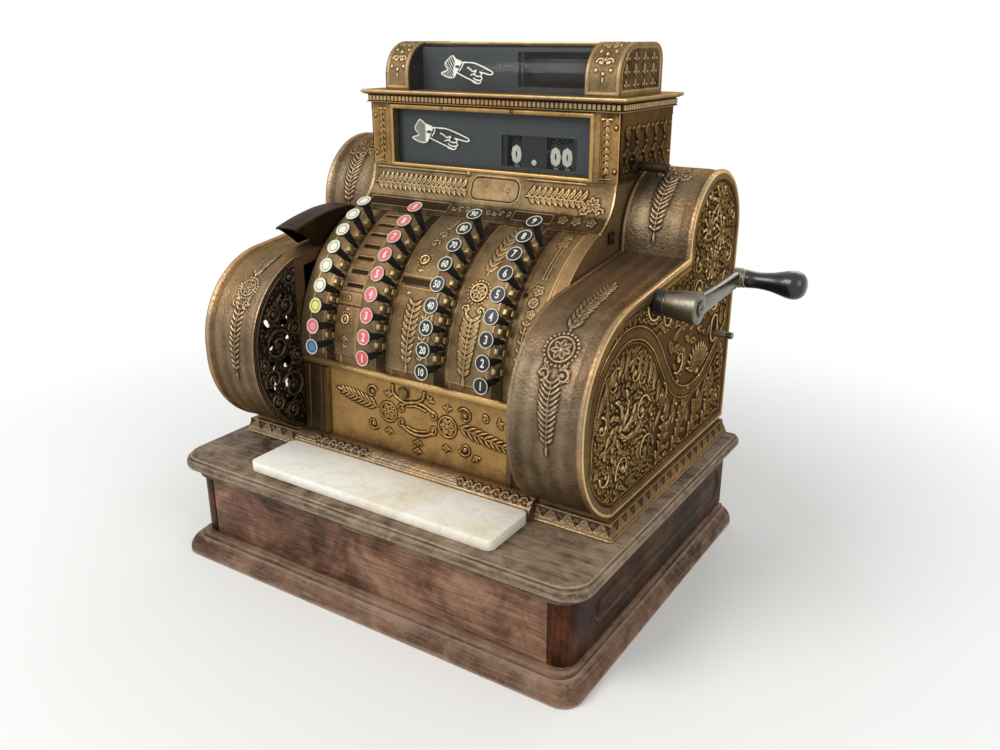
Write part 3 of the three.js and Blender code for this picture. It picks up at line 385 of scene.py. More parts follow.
def basis(axis):
    """The unit axis and two directions square to it."""
    axis = np.array(axis, float) / np.linalg.norm(axis)
    side = np.cross((0.0, 0.0, 1.0), axis)
    if np.linalg.norm(side) < 1e-6:
        side = np.cross((1.0, 0.0, 0.0), axis)
    side /= np.linalg.norm(side)
    return axis, side, np.cross(axis, side)


def lathe(profile, origin, axis, steps=32):
    """A turned form from (distance along the axis, radius) pairs."""
    axis, side, up = basis(axis)
    angles = np.linspace(0, 2 * math.pi, steps, endpoint=False)
    circle = np.outer(np.cos(angles), side) + np.outer(np.sin(angles), up)
    origin = np.array(origin, float)
    return rings_form([origin + axis * along + circle * max(radius, 0.01) for along, radius in profile])


def inset_outline(outline, distance):
    """A closed outline moved inwards; it runs anticlockwise."""
    outline = np.asarray(outline, float)
    ahead = np.roll(outline, -1, axis=0) - outline
    ahead /= np.maximum(np.linalg.norm(ahead, axis=1, keepdims=True), 1e-9)
    behind = np.roll(ahead, 1, axis=0)
    normal = stack(-(ahead[:, 1] + behind[:, 1]), ahead[:, 0] + behind[:, 0])
    length = np.maximum((normal**2).sum(1, keepdims=True) / 2, 0.25)
    return outline + normal / length * distance


def anticlockwise(outline):
    outline = np.asarray(outline, float)
    x, y = outline[:, 0], outline[:, 1]
    area = (x * np.roll(y, -1) - y * np.roll(x, -1)).sum()
    return outline if area > 0 else outline[::-1]


def prism(outline, start, end, axis=0, bevel=0.5):
    """An outline drawn out along an axis, with rounded edges. The outline holds the other two coordinates."""
    outline = anticlockwise(outline)
    levels = [(start, bevel), (start + bevel * 0.3, bevel * 0.3), (start + bevel, 0.0), (end - bevel, 0.0),
              (end - bevel * 0.3, bevel * 0.3), (end, bevel)] if bevel else [(start, 0), (end, 0)]
    others = [i for i in range(3) if i != axis]
    rings = []
    for place, inset in levels:
        ring = np.empty((len(outline), 3))
        ring[:, others] = inset_outline(outline, inset) if inset else outline
        ring[:, axis] = place
        rings.append(ring)
    return rings_form(rings)


def spot(u, v, r, angle):
    """The point at distance r from (u, v), in the direction of angle."""
    return u + r * math.cos(angle), v + r * math.sin(angle)


def arc(centre, radius, start, end, steps):
    angles = np.linspace(start, end, steps)
    return stack(centre[0] + radius * np.cos(angles), centre[1] + radius * np.sin(angles))


def round_rectangle(u0, u1, v0, v1, radius, steps):
    quarter = math.pi / 2
    spots = [(u1 - radius, v0 + radius, -1), (u1 - radius, v1 - radius, 0), (u0 + radius, v1 - radius, 1),
             (u0 + radius, v0 + radius, 2)]
    return np.concatenate([arc((u, v), radius, q * quarter, (q + 1) * quarter, steps) for u, v, q in spots])


def tube(path, radius, steps):
    """A round rod along a path of points; radius may be a list."""
    path = np.asarray(path, float)
    radii = np.broadcast_to(radius, len(path))
    ahead = np.gradient(path, axis=0)
    rings = []
    angles = np.linspace(0, 2 * math.pi, steps, endpoint=False)
    side = basis(ahead[0])[1]
    for point, direction, r in zip(path, ahead, radii):
        direction = direction / np.linalg.norm(direction)
        side = side - direction * (side @ direction)
        side /= np.linalg.norm(side)
        up = np.cross(direction, side)
        rings.append(point + r * (np.outer(np.cos(angles), side) + np.outer(np.sin(angles), up)))
    return rings_form(rings)


def smooth_path(points, steps=10):
    """Points on a smooth curve through the given ones."""
    points = np.asarray(points, float)
    padded = np.concatenate([[2 * points[0] - points[1]], points, [2 * points[-1] - points[-2]]])
    t = np.linspace(0, 1, steps, endpoint=False)[:, None]
    out = []
    for a, b, c, d in zip(padded, padded[1:], padded[2:], padded[3:]):
        out.append(0.5 * (2 * b + (c - a) * t + (2 * a - 5 * b + 4 * c - d) * t**2
                          + (3 * b - a - 3 * c + d) * t**3))
    return np.concatenate(out + [points[-1:]])


def margin(u, v, u0, u1, v0, v1):
    """How far inside a rectangle a point lies, below 0 outside it."""
    return np.minimum(np.minimum(u - u0, u1 - u), np.minimum(v - v0, v1 - v))


def lengths_along(path):
    """The distance from a path's start to each of its points."""
    return np.concatenate([[0], np.cumsum(np.linalg.norm(np.diff(path, axis=0), axis=1))])


def even_path(path, count):
    """The same line with points at even distances."""
    lengths = lengths_along(path)
    even = np.linspace(0, lengths[-1], count)
    return stack(*(np.interp(even, lengths, column) for column in path.T))


def moulded(levels, half, y0, y1, steps):
    """A slab with rounded front corners; each level is (inset, height, corner radius)."""
    rings = []
    for inset, z, corner in levels:
        x1 = half - inset
        right = arc((x1 - corner, y0 + inset + corner), corner, -math.pi / 2, 0, steps)
        left = arc((-x1 + corner, y0 + inset + corner), corner, math.pi, 1.5 * math.pi, steps)
        ring = np.concatenate([right, [(x1, y1), (-x1, y1)], left])
        rings.append(stack(*ring.T, z))
    return rings_form(rings)


def side_facing(form):
    """1 for the faces that look more to a side than to the front, whose grain runs front to back."""
    points, faces = np.asarray(form[0], float), form[1]
    slots = []
    for face in faces:
        a, b, c = (points[i] for i in face[:3])
        normal = np.abs(np.cross(b - a, c - a))
        slots.append(int(len(face) == 4 and normal[0] > normal[1] and normal[0] > 1e-6))
    return slots


figure_cache = {}


def figures(text, height, width_share=0.8, thick=0.3, bold=0.0):
    """Numerals as a solid in the XY plane, centred, (points, faces)."""
    if (text, bold) not in figure_cache:
        curve = bpy.data.curves.new("figures", "FONT")
        curve.body = text
        curve.resolution_u = 2
        curve.extrude = 0.5
        curve.offset = bold
        holder = link_object("figures", curve)
        mesh = worked_out(holder)
        points = np.array([v.co for v in mesh.vertices], float)
        faces = [tuple(p.vertices) for p in mesh.polygons]
        bpy.data.objects.remove(holder)
        bpy.data.meshes.remove(mesh)
        bpy.data.curves.remove(curve)
        low, high = points.min(0), points.max(0)
        points[:, :2] -= (low[:2] + high[:2]) / 2
        figure_cache[text, bold] = points / (high[1] - low[1]), faces, high[1] - low[1]
    points, faces, tall = figure_cache[text, bold]
    scaled = points * height * np.array([width_share, 1.0, 0.0])
    scaled[:, 2] = points[:, 2] * tall * thick
    return scaled, faces


def placed(form, origin, right, up):
    """Moves a form from the XY plane to an origin with the given right and up directions."""
    points, faces = form
    right, up = np.array(right, float), np.array(up, float)
    frame_axes = np.stack([right, up, np.cross(right, up)])
    return np.asarray(points, float) @ frame_axes + np.array(origin, float), faces


# ---------------------------------------------------------------- relief
class Relief:
    """A field of heights over a patch (u, v), on which ornament is raised."""

    def __init__(self, u0, u1, v0, v1, step):
        self.us = np.linspace(u0, u1, max(2, round((u1 - u0) / step) + 1))
        self.vs = np.linspace(v0, v1, max(2, round((v1 - v0) / step) + 1))
        self.u, self.v = np.meshgrid(self.us, self.vs)
        self.h = np.zeros_like(self.u)
        self.base = np.zeros_like(self.h)
        # glow lightens the finish above 0 and darkens it below 0: mostly painted highlight and painted shade,
        # besides some tone
        self.glow = np.zeros_like(self.h)
        self.hole = np.zeros_like(self.h, bool)
        # weights of the painted light: punch brightens what stands out, crease lightens what rises over its
        # surroundings and darkens what lies below them, outline darkens only the latter
        self.punch, self.crease, self.outline = 0.16, 1.0, 0.0

    def near(self, u, v, r):
        """The cells within r of a spot, with their distances from it along u and v."""
        i0, i1 = np.searchsorted(self.us, (u - r, u + r))
        j0, j1 = np.searchsorted(self.vs, (v - r, v + r))
        part = slice(j0, j1), slice(i0, i1)
        return part, self.u[part] - u, self.v[part] - v

    def dome(self, u, v, r, height):
        part, du, dv = self.near(u, v, r)
        rise = height * np.clip(1 - (du * du + dv * dv) / (r * r), 0, None) ** 0.5
        np.maximum(self.h[part], rise, out=self.h[part])

    def carve(self, u, v, r, depth):
        part, du, dv = self.near(u, v, r)
        self.h[part] -= depth * np.clip(1 - (du * du + dv * dv) / (r * r), 0, None)
        np.maximum(self.h[part], 0, out=self.h[part])

    def ring(self, u, v, r, width, height):
        part, du, dv = self.near(u, v, r + width)
        gap = (np.sqrt(du * du + dv * dv) - r) / width
        rise = height * np.sqrt(np.clip(1 - gap * gap, 0, None))
        np.maximum(self.h[part], rise, out=self.h[part])

    def stroke(self, path, width, height):
        """A rounded line; width and height are numbers or functions of the share along it."""
        path = np.asarray(path, float)
        lengths = lengths_along(path)
        widest = width if np.isscalar(width) else max(width(t) for t in np.linspace(0, 1, 9))
        count = max(2, int(lengths[-1] / max(widest * 0.22, 0.25)))
        for t in np.linspace(0, 1, count):
            u = np.interp(t * lengths[-1], lengths, path[:, 0])
            v = np.interp(t * lengths[-1], lengths, path[:, 1])
            w = width if np.isscalar(width) else width(t)
            h = height if np.isscalar(height) else height(t)
            if w > 0.2:
                self.dome(u, v, w, h)

    def groove(self, path, width, depth):
        """A line cut into what is raised."""
        path = np.asarray(path, float)
        for a, b in zip(path, path[1:]):
            count = max(1, int(np.linalg.norm(b - a) / width))
            for t in range(count):
                self.carve(*(a + (b - a) * t / count), width, depth)

    def leaf(self, u, v, angle, length, width, height, bend=0.0):
        """A pointed leaf with a sunk midrib, bending by an angle along its length."""
        t = np.linspace(0, 1, 9)
        turn = angle + bend * t
        steps = stack(np.cos(turn), np.sin(turn)) * length / 9
        path = np.cumsum(steps, axis=0) + (u, v)
        self.stroke(path, lambda s: width / 2 * math.sin(math.pi * (0.12 + 0.86 * s) ** 0.8) + 0.25,
                    lambda s: height * (0.65 + 0.35 * math.sin(math.pi * s)))
        if width > 3:
            self.groove(path[1:-2], width * 0.16, height * 0.5)

    def fern(self, points, pairs, length, width, height, spread=0.9, bend=-0.35):
        """A frond along a curve, with leaflets in pairs."""
        path = even_path(smooth_path(points, 8), 60)
        self.stroke(path, width * 0.28, height * 0.8)
        ahead = np.gradient(path, axis=0)
        for i in range(pairs):
            share = (i + 0.5) / pairs
            k = min(int(share * (len(path) - 1)), len(path) - 1)
            angle = math.atan2(ahead[k, 1], ahead[k, 0])
            size = length * (0.55 + 0.45 * math.sin(math.pi * min(1, 0.25 + 0.72 * share)))
            for side in (-1, 1):
                self.leaf(*path[k], angle + side * spread, size, width, height, side * bend)
        angle = math.atan2(ahead[-1, 1], ahead[-1, 0])
        self.leaf(*path[-1], angle, length * 0.8, width, height)

    def scroll(self, u, v, r, start, turns=1.4, hand=1, width=2.2, height=1.6, leaves=7, bud=True,
               spray=0.52):
        """A spiral that winds in from radius r, with leaves on its outer side."""
        t = np.linspace(0, 1, 60)
        radius = r * (1 - t * 0.8)
        angle = start + hand * 2 * math.pi * turns * t
        path = stack(u + radius * np.cos(angle), v + radius * np.sin(angle))
        self.stroke(path, lambda s: width * (1 - 0.45 * s), height)
        for i in range(leaves):
            k = int(4 + i * 40 / max(leaves, 1))
            out = angle[k] + hand * 0.75
            self.leaf(*path[k], out, r * (spray - 0.03 * i), width * 1.9, height * 0.85, hand * 0.9)
        if bud:
            self.dome(u, v, r * 0.24, height * 1.25)
            self.ring(u, v, r * 0.24, 0.5, height * 0.6)

    def palmette(self, u, v, r, angle, height):
        """A fan of curled leaves from one point."""
        for i in range(-3, 4):
            turn, size = i * 0.42, r * (1 - 0.045 * i**2)
            self.leaf(u, v, angle + turn, size, r * 0.2, height, turn * 0.8)
            tip = angle + turn * 1.35
            self.dome(*spot(u, v, size, tip), r * 0.11, height)
        self.dome(u, v, r * 0.2, height * 1.05)

    def rosette(self, u, v, r, petals, height, turn=0.0):
        """A flower of leaves round a dome."""
        for i in range(petals):
            angle = turn + i * 2 * math.pi / petals
            self.leaf(*spot(u, v, 0.22 * r, angle), angle, r * 0.8, r * 1.5 * math.pi / petals, height)
        self.dome(u, v, r * 0.26, height * 1.3)

    def pearls(self, u, v, r, count, size, height):
        """A circle of small domes."""
        for i in range(count):
            self.dome(*spot(u, v, r, i * 2 * math.pi / count), size, height)

    def beads(self, path, pitch, r, height):
        """Small domes at even distances along a path."""
        lengths = lengths_along(path)
        for s in np.arange(pitch / 2, lengths[-1], pitch):
            self.dome(np.interp(s, lengths, path[:, 0]), np.interp(s, lengths, path[:, 1]), r, height)

    def line(self, u0, v0, u1, v1, width, height):
        self.stroke([(u0, v0), (u1, v1)], width, height)

    def plate(self, u0, u1, v0, v1, height, groove, edge, round_by=1.5):
        """A step up in the ground, with a painted highlight on its edge and a groove inside it, darkened with
        painted shade.
        """
        u, v = self.u, self.v
        past_u = np.minimum(np.minimum(u - u0, u1 - u) - round_by, 0)
        past_v = np.minimum(np.minimum(v - v0, v1 - v) - round_by, 0)
        gap = np.minimum(margin(u, v, u0, u1, v0, v1), round_by - np.hypot(past_u, past_v))
        inside = gap >= 0
        self.base[inside] = height
        self.h[inside] = 0
        self.glow[inside] = 0.02
        self.glow += inside * edge * (gap < 1.4)
        if groove:
            line = inside * np.exp(-(((gap - groove) / 0.6) ** 2))
            self.base -= 0.8 * line
            self.glow -= 0.7 * line

    def sink(self, u0, u1, v0, v1, depth, dark=0.8):
        """A recess, darkened with painted shade."""
        u, v = self.u, self.v
        inside = (u > u0) & (u < u1) & (v > v0) & (v < v1)
        self.base[inside] -= depth
        self.glow[inside] = -dark
        self.h[inside] = 0

    def lock(self, u, v, r):
        """A ringed dome with a slot and a circle of beads."""
        self.h[np.hypot(self.u - u, self.v - v) < r * 1.7] = 0
        self.ring(u, v, r, 1.3, 2.2)
        self.dome(u, v, r * 0.7, 1.6)
        self.line(u, v - r * 0.5, u, v + r * 0.5, 0.6, 2.3)
        self.pearls(u, v, r * 1.7, 14, 0.9, 0.9)

    def tulip(self, u, v, size, angle=math.pi / 2, height=1.0):
        """Three leaves from a bud."""
        for turn in (-0.7, 0.0, 0.7):
            self.leaf(u, v, angle + turn, size, size * 0.42, height, turn)
        self.dome(u, v, size * 0.22, height)

    def filler(self, inside, size, height, seed):
        """Small leaves where the field is still empty, turned as a slow swirl."""
        rng = np.random.default_rng(seed)
        u0, u1, v0, v1 = self.us[0], self.us[-1], self.vs[0], self.vs[-1]
        tries = int((u1 - u0) * (v1 - v0) / (size * size) * 5)
        for u, v, spin in rng.random((tries, 3)) * (u1 - u0, v1 - v0, 1) + (u0, v0, 0):
            part, _, _ = self.near(u, v, size * 0.55)
            if inside(u, v) and self.h[part].size and self.h[part].max() < height * 0.3:
                angle = u / 37 + v / 29 + 2.4 * spin
                self.leaf(u, v, angle, size, size * 0.55, height, 1.2 * (spin - 0.5))

    def patch(self, name, placing, materials, top, keep=None):
        """Makes the mesh: placing(u, v, h) gives points; keep(u, v) masks cells."""
        height = self.h + self.base
        points = placing(self.u.ravel(), self.v.ravel(), height.ravel())
        index = np.arange(height.size).reshape(height.shape)
        solid = ~self.hole
        if keep is not None:
            solid &= keep(self.u, self.v)
        corners_of = lambda grid: np.stack([grid[:-1, :-1], grid[:-1, 1:], grid[1:, 1:], grid[1:, :-1]], -1)
        used, quads = np.unique(corners_of(index)[corners_of(solid).all(-1)], return_inverse=True)
        quads = quads.reshape(-1, 4)
        mesh = bpy.data.meshes.new(name)
        mesh.vertices.add(len(used))
        mesh.vertices.foreach_set("co", (points[used] * MM).astype(np.float32).ravel())
        mesh.loops.add(quads.size)
        mesh.loops.foreach_set("vertex_index", quads.ravel().astype(np.int32))
        mesh.polygons.add(len(quads))
        mesh.polygons.foreach_set("loop_start", np.arange(0, quads.size, 4, dtype=np.int32))
        mesh.update(calc_edges=True)
        # the painted light goes out twice: summed with the relief, and as glow alone
        for layer, values in (("shine", self.shine(top)), ("wear", self.glow)):
            set_values(mesh, layer, np.broadcast_to(values, height.shape).ravel()[used])
        return finish_piece(name, mesh, materials, "register", (), 0)

    def shine(self, top):
        """Painted light from the relief, -1 to 1: lighter where a point stands out from its surroundings, as
        rubbing and painted highlight, darker where it lies below them, as patina and painted shade, with glow
        added.
        """
        blur = self.h.copy()
        for _ in range(6):
            padded = np.pad(blur, 1, mode="edge")
            blur = (padded[:-2, 1:-1] + padded[2:, 1:-1] + padded[1:-1, :-2] + padded[1:-1, 2:]
                    + padded[1:-1, 1:-1]) / 5
        rise = np.clip(self.h / top, 0, 1.2) ** 2
        step = self.h - blur
        shine = rise * self.punch + step * self.crease + np.minimum(step, 0) * self.outline + self.glow
        return np.clip(shine, -1, 1)


# ---------------------------------------------------------------- places, as in the CAD source
KEYBOARD = (68.4, 243.7)
KEYBOARD_RADIUS = 158.0
KEY_COLUMNS = [share * 328.4 for share in (-0.365, -0.14, 0.1035, 0.329)]
KEY_TOP = 190.0
CRANK = (-15.078, 345.691)  # centres are (y, z)
ARM_LENGTH, ARM_TILT = 120, math.radians(2)
ARM_END = spot(*CRANK, ARM_LENGTH, ARM_TILT)
WHEELS = (104.7, 464.46)
FLAGS = (107.5, 553.44)
STUD = (158.0, 267.7)
HOOD_HINGE = (30.0, 371.755)
TOWER_FRONT, TOWER_BACK, TOWER_HALF = 55.0, 186.0, 164.2
TOWER_Z, SIGN_Z, SIGN_TOP = 443.1, 529.9, 583.4
SIGN_FRONT, SIGN_BACK, SIGN_FRONT_ROUND, SIGN_BACK_ROUND = 55.0, 160.0, 38.0, 20.0
CAP_INNER = (-110.0, 121.0)  # where the caps end and the sheet starts
CABINET_BACK, WALL_LOW, WALL_TOP, BAY_HALF = 212.0, 27.05, 99.0, 230.0
DRAWER_HALF, DRAWER_LOW, DRAWER_TOP, BOARD_BACK = 228.8, 27.3, 97.8, -170
TUB_HALF, TUB_FRONT, TUB_BACK, TUB_TOP = 219.8, -170.5, 184, 85.8
CASE_IN, CASE_OUT = 166.2, 246.0
CASE_BACK, CASE_FOOT = 210.0, 147.0
LOBE = (-62.0, 241.7)
LOBE_RADIUS, LOBE_STRAIGHT, DECK_SLOPE = 101.0, 12.0, math.radians(7)
RIGHT_DRUM = (138.0, 381.7, 72.0)  # y, z, radius
LEFT_DRUM = (130.0, 387.7, 80.0)
PANEL_FACE = -89.5


def deck_z(y, inset=0.0):
    """Height of the sloping deck between the lobe and the drum."""
    peak_y = LOBE[0] - LOBE_RADIUS * math.sin(DECK_SLOPE)
    peak_z = LOBE[1] + LOBE_STRAIGHT + LOBE_RADIUS * math.cos(DECK_SLOPE)
    return peak_z + (y - peak_y) * math.tan(DECK_SLOPE) - inset / math.cos(DECK_SLOPE)


def lobe_path(drum, inset=0.0):
    """The band's path over the lobe and the deck, from the front foot up to the drum."""
    radius = LOBE_RADIUS - inset
    low = math.pi + math.asin((LOBE[1] - CASE_FOOT - inset) / radius)
    upper = (LOBE[0], LOBE[1] + LOBE_STRAIGHT)
    end_y = drum[0] - drum[2] + inset
    return np.concatenate([
        arc(LOBE, radius, low, math.pi, 40),
        arc(upper, radius, math.pi, math.pi / 2 + DECK_SLOPE, 40),
        [(end_y, deck_z(end_y, inset))],
    ])


def drum_path(drum, steps=48):
    """The band's path up the drum's front, over it and down the back."""
    y, z, radius = drum
    front, over = [(y - radius, deck_z(y - radius))], arc((y, z), radius, math.pi, 0, steps)
    return np.concatenate([front, over, [(y + radius, CASE_FOOT)]])


def case_outline(drum):
    return np.concatenate([lobe_path(drum), drum_path(drum, steps=40)])


class Track:
    """A path in (y, z) with lengths and outward normals, for bands that follow it."""

    def __init__(self, points):
        keep = np.concatenate([[True], np.linalg.norm(np.diff(points, axis=0), axis=1) > 1e-6])
        self.points = np.asarray(points, float)[keep]
        steps = np.diff(self.points, axis=0)
        self.lengths = lengths_along(self.points)
        self.length = self.lengths[-1]
        normal = stack(-steps[:, 1], steps[:, 0])
        normal /= np.linalg.norm(normal, axis=1, keepdims=True)
        middle = normal[:-1] + normal[1:]
        middle /= np.linalg.norm(middle, axis=1, keepdims=True)
        self.normals = np.concatenate([normal[:1], middle, normal[-1:]])

    def at(self, s, off=0.0):
        """The points at lengths s along the path, moved outwards by off."""
        y, z, ny, nz = (np.interp(s, self.lengths, column) for column in (*self.points.T, *self.normals.T))
        return y + ny * off, z + nz * off

    def skin(self, x, s, h):
        """Placing of a patch whose u is x and whose v runs along the path."""
        return stack(x, *self.at(s, h))


def swept_moulding(outline, profile):
    """A moulding that follows a closed anticlockwise outline in (y, z): profile pairs of (inset, x)."""
    outline = anticlockwise(outline)
    rings = []
    for inset, x in profile + profile[:1]:
        rings.append(stack(x, *inset_outline(outline, inset).T))
    return rings_form(rings, False)


# ---------------------------------------------------------------- finishes of the CAD nodes that stay
NODE_FINISHES = {  # keys that aren't named here are black
    brass: ("base_frame", "keyboard_casting", "indicator_housing", "sign_housing", "rear_cover"),
    band_metal: ("left_casting", "right_casting"),
    gilt: ("front_panel",),
    steel: ("main_gear", "mechanism_frame"),
    nickel: ("crank", "side_stud"),
    dark_metal: ("receipt_hood",),
    glass: ("indicator_glass", "sign_glass"),
    front_wood: ("drawer", "cabinet"),
    tray_wood: ("till_tray",),
    marble: ("marble_sill",),
    ebony: ("crank_grip",),
    black_japan: ("dollar_wheel", "ten_cent_wheel", "cent_wheel", "sign_drum"),
}


def dress_nodes():
    """Gives every CAD node its finish."""
    finishes = {name: material for material, names in NODE_FINISHES.items() for name in names}
    for name, node in nodes.items():
        node.data.materials.clear()
        node.data.materials.append(finishes.get(name, key_black))


dress_nodes()


# ---------------------------------------------------------------- cabinet
PLINTH_SECTION = [  # inset from the plinth's outer face, height, corner radius, wear
    (1.0, 0.0, 20, 0.6), (0.0, 1.2, 21, 0.8), (0.0, 5.0, 21, 0.3), (0.5, 8.5, 21, 0.2), (1.8, 12.5, 21, 0.2),
    (4.0, 16.4, 21, 0.2), (7.0, 19.6, 21, 0.3), (9.6, 21.3, 21, 0.6), (10.6, 21.7, 21, 0.9),
    (11.4, 21.5, 21, 0.2), (12.2, 21.6, 20, -0.4), (12.5, 24.0, 20, -0.5), (13.0, 24.9, 20, 0.5),
    (14.2, 25.2, 20, 0.6), (17.4, 25.3, 20, 0.4), (17.8, 25.6, 20, -0.3), (17.9, 26.6, 19.5, 0.3),
    (18.4, 27.0, 19, 0.4), (22.0, 27.0, 19, 0.1)]
BOARD_SECTION = [  # reach outwards and height, as shares of 15 mm and 26 mm, and wear
    (0.33, 0.03, 0.0), (0.33, 0.16, -0.1), (0.38, 0.2, -0.2), (0.5, 0.31, 0.1), (0.62, 0.37, 0.1),
    (0.8, 0.42, 0.2), (0.94, 0.46, 0.4), (1.0, 0.54, 0.5), (1.0, 0.7, 0.2), (0.97, 0.78, 0.3),
    (0.92, 0.84, 0.5), (0.86, 0.885, 0.3), (0.82, 0.88, -0.5), (0.79, 0.9, -0.3), (0.765, 0.955, 0.6),
    (0.72, 0.985, 0.6), (0.66, 1.0, 0.3)]
PLINTH_HALF, BOARD_HALF, BOARD_INSET, BOARD_REACH, BOARD_THICK = 269, 277, 22, 15, 26
POST_FACE, POST_FRONT, POST_REAR, POST_RADIUS = 253, -190, -150, 19
GROOVE_MIDDLE, GROOVE_HALF = (29, 63), 149.5  # of the side wall's stadium: (y, z), half its straight length
GROOVE = [  # the side wall's groove: distance from its middle line, height
    (0, 0.9), (7.2, 0.9), (7.6, 0.3), (8.6, -0.1), (10.5, -1.2), (13.0, -1.65), (15.5, -1.2), (17.6, -0.2),
    (18.6, 0.2), (19.2, -0.3), (19.8, -0.4), (20.4, 0.4), (21.2, 0.95), (400, 0.95)]


def cabinet_piece(piece, name, *materials):
    """Makes a piece that stands in for a part of the cabinet."""
    piece.make(name, materials, replaces=["cabinet"], slot="oak")


def cabinet_pieces():
    board = [(BOARD_INSET - BOARD_REACH * reach, WALL_TOP + BOARD_THICK * height, 27.0, wear)
             for reach, height, wear in BOARD_SECTION]
    slabs = (("plinth", PLINTH_HALF, PLINTH_SECTION, (plinth_wood, plinth_side)),
             ("top_board", BOARD_HALF, board, (board_wood, board_side)))
    for name, half, section, materials in slabs:
        form = moulded([row[:3] for row in section], half, -CABINET_BACK, CABINET_BACK, 10)
        wear = np.repeat([row[3] for row in section], len(form[0]) // len(section))
        cabinet_piece(Piece().add(form, side_facing(form), wear), name, *materials)

    walls, posts, bay = Piece(), Piece(), Piece()
    plan = [(BAY_HALF, 172), (250.2, 172), (250.2, 208), (252.8, 208), (252.8, CABINET_BACK),
            (BAY_HALF, CABINET_BACK)]
    for side in (-1, 1):
        walls.add(prism([(side * x, y) for x, y in plan], WALL_LOW, WALL_TOP, 2))
        centre = side * (POST_FACE - POST_RADIUS), POST_FRONT + POST_RADIUS
        corner = arc(centre, POST_RADIUS, -math.pi / 2, 0 if side > 0 else -math.pi, 10)
        outline = np.concatenate([[(side * BAY_HALF, POST_FRONT)], corner,
                                  [(side * POST_FACE, POST_REAR), (side * BAY_HALF, POST_REAR)]])
        posts.add(prism(outline, WALL_LOW, WALL_TOP, 2, 0.4), wear=0.1)
        low, high = sorted((side * BAY_HALF, side * 250))
        bay.add(box((low, POST_REAR, WALL_LOW), (high, 172, WALL_TOP), 0.2))
    walls.add(box((-BAY_HALF, 196, 27), (BAY_HALF, CABINET_BACK, WALL_TOP), 0.5))
    cabinet_piece(walls, "cabinet_walls", wall_wood)
    cabinet_piece(posts, "corner_posts", post_wood)
    side_wall(-1, "left_wall")
    side_wall(1, "right_wall")
    cabinet_piece(bay, "bay_sides", tray_wood)


def side_wall(side, name):
    """The outer face of a side wall, with a moulded groove in the shape of a long stadium."""
    field = Relief(POST_REAR, CABINET_BACK, 27, WALL_TOP, 0.9)
    middle_y, middle_z = GROOVE_MIDDLE
    reach = np.maximum(np.abs(field.u - middle_y) - GROOVE_HALF, 0)
    away = np.hypot(reach, field.v - middle_z)
    near = lambda middle, half: np.exp(-(((away - middle) / half) ** 2))
    field.h = np.interp(away, *zip(*GROOVE))
    # painted light on the groove: its lower side and rim are lightened as painted highlight, and its upper side
    # is darkened as painted shade
    lower = (field.v < middle_z) | (reach > 0)
    field.glow = 0.75 * near(16.5, 3.2) * lower + 0.5 * (np.abs(away - 8) < 1.2) * lower
    field.glow += 0.4 * near(21, 1.0)
    field.glow -= 0.5 * near(12, 3.0) * (field.v > middle_z) + 0.25 * near(19.4, 0.8)
    wall = field.patch(name, lambda y, z, h: stack(side * (252.0 + h), y, z), [wall_wood], 1.0)
    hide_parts("cabinet")


def drawer_pieces():
    """The drawer's front board and the box behind it."""
    board = box((-DRAWER_HALF, POST_FRONT, DRAWER_LOW), (DRAWER_HALF, BOARD_BACK, DRAWER_TOP), 1.2, 3)
    lighter_left = [-0.0008 * x for x, _, _ in board[0]]  # the left end is the lighter
    Piece().add(board, wear=lighter_left).make("drawer_front", [front_wood], "drawer", ["drawer"], "oak")
    tub = Piece()
    for low, high in ((-DRAWER_HALF, -TUB_HALF), (TUB_HALF, DRAWER_HALF)):
        tub.add(box((low, TUB_FRONT, DRAWER_LOW), (high, TUB_BACK, TUB_TOP), 1.0))
    tub.add(box((-TUB_HALF, 175, DRAWER_LOW), (TUB_HALF, TUB_BACK, TUB_TOP), 1.0))
    tub.add(box((-220, TUB_FRONT, DRAWER_LOW), (220, 176, 33.3), 0.3))
    tub.make("drawer_box", [tray_wood], "drawer", ["drawer"], "oak")


def sill_piece():
    low, high = corners("marble_sill")
    outline = round_rectangle(low[0], high[0], low[1], high[1], 8, 6)
    slab = Piece().add(prism(outline, low[2], high[2], 2, 1.1))
    slab.make("marble_slab", [marble], replaces=["marble_sill"], slot="marble")


cabinet_pieces()
drawer_pieces()
sill_piece()


# ---------------------------------------------------------------- keys
KEY_FACES = [[key_blue, key_pink, key_yellow] + [key_cream] * 6, [key_red] + [key_rose] * 8, [key_black] * 9,
             [key_black] * 9]
KEY_FIRST, KEY_PITCH = math.radians(5.8), math.radians(7.05)
# each of the key's turned forms: its material, its sides, and pairs of distance from the top and radius
KEY_FORMS = [
    (0, 28, [(-1.0, 7.6), (-0.35, 7.6), (-0.05, 7.85), (0.0, 8.2), (-0.1, 8.55), (-0.4, 8.75), (-1.0, 8.8),
             (-1.0, 7.6)]),
    (1, 28, [(-2.6, 7.7), (-1.1, 7.7), (-0.55, 7.6), (-0.42, 5.0), (-0.36, 2.5), (-0.34, 0.0)]),
    (3, 24, [(-2.4, 7.6), (-0.5, 8.0), (-0.35, 8.75), (-0.8, 9.0), (-2.9, 8.95), (-3.4, 8.5), (-4.2, 7.6),
             (-5.8, 6.0), (-7.4, 4.9), (-9.0, 4.4), (-9.6, 4.5), (-23.7, 3.8)]),
    (3, 12, [(-23.6, 2.6), (-54.0, 2.6)]),
]
KEY_MARK = (3, 28, [(-0.55, 5.9), (-0.25, 5.8), (-0.25, 5.2), (-0.55, 5.1), (-0.55, 5.9)])  # a plain ring


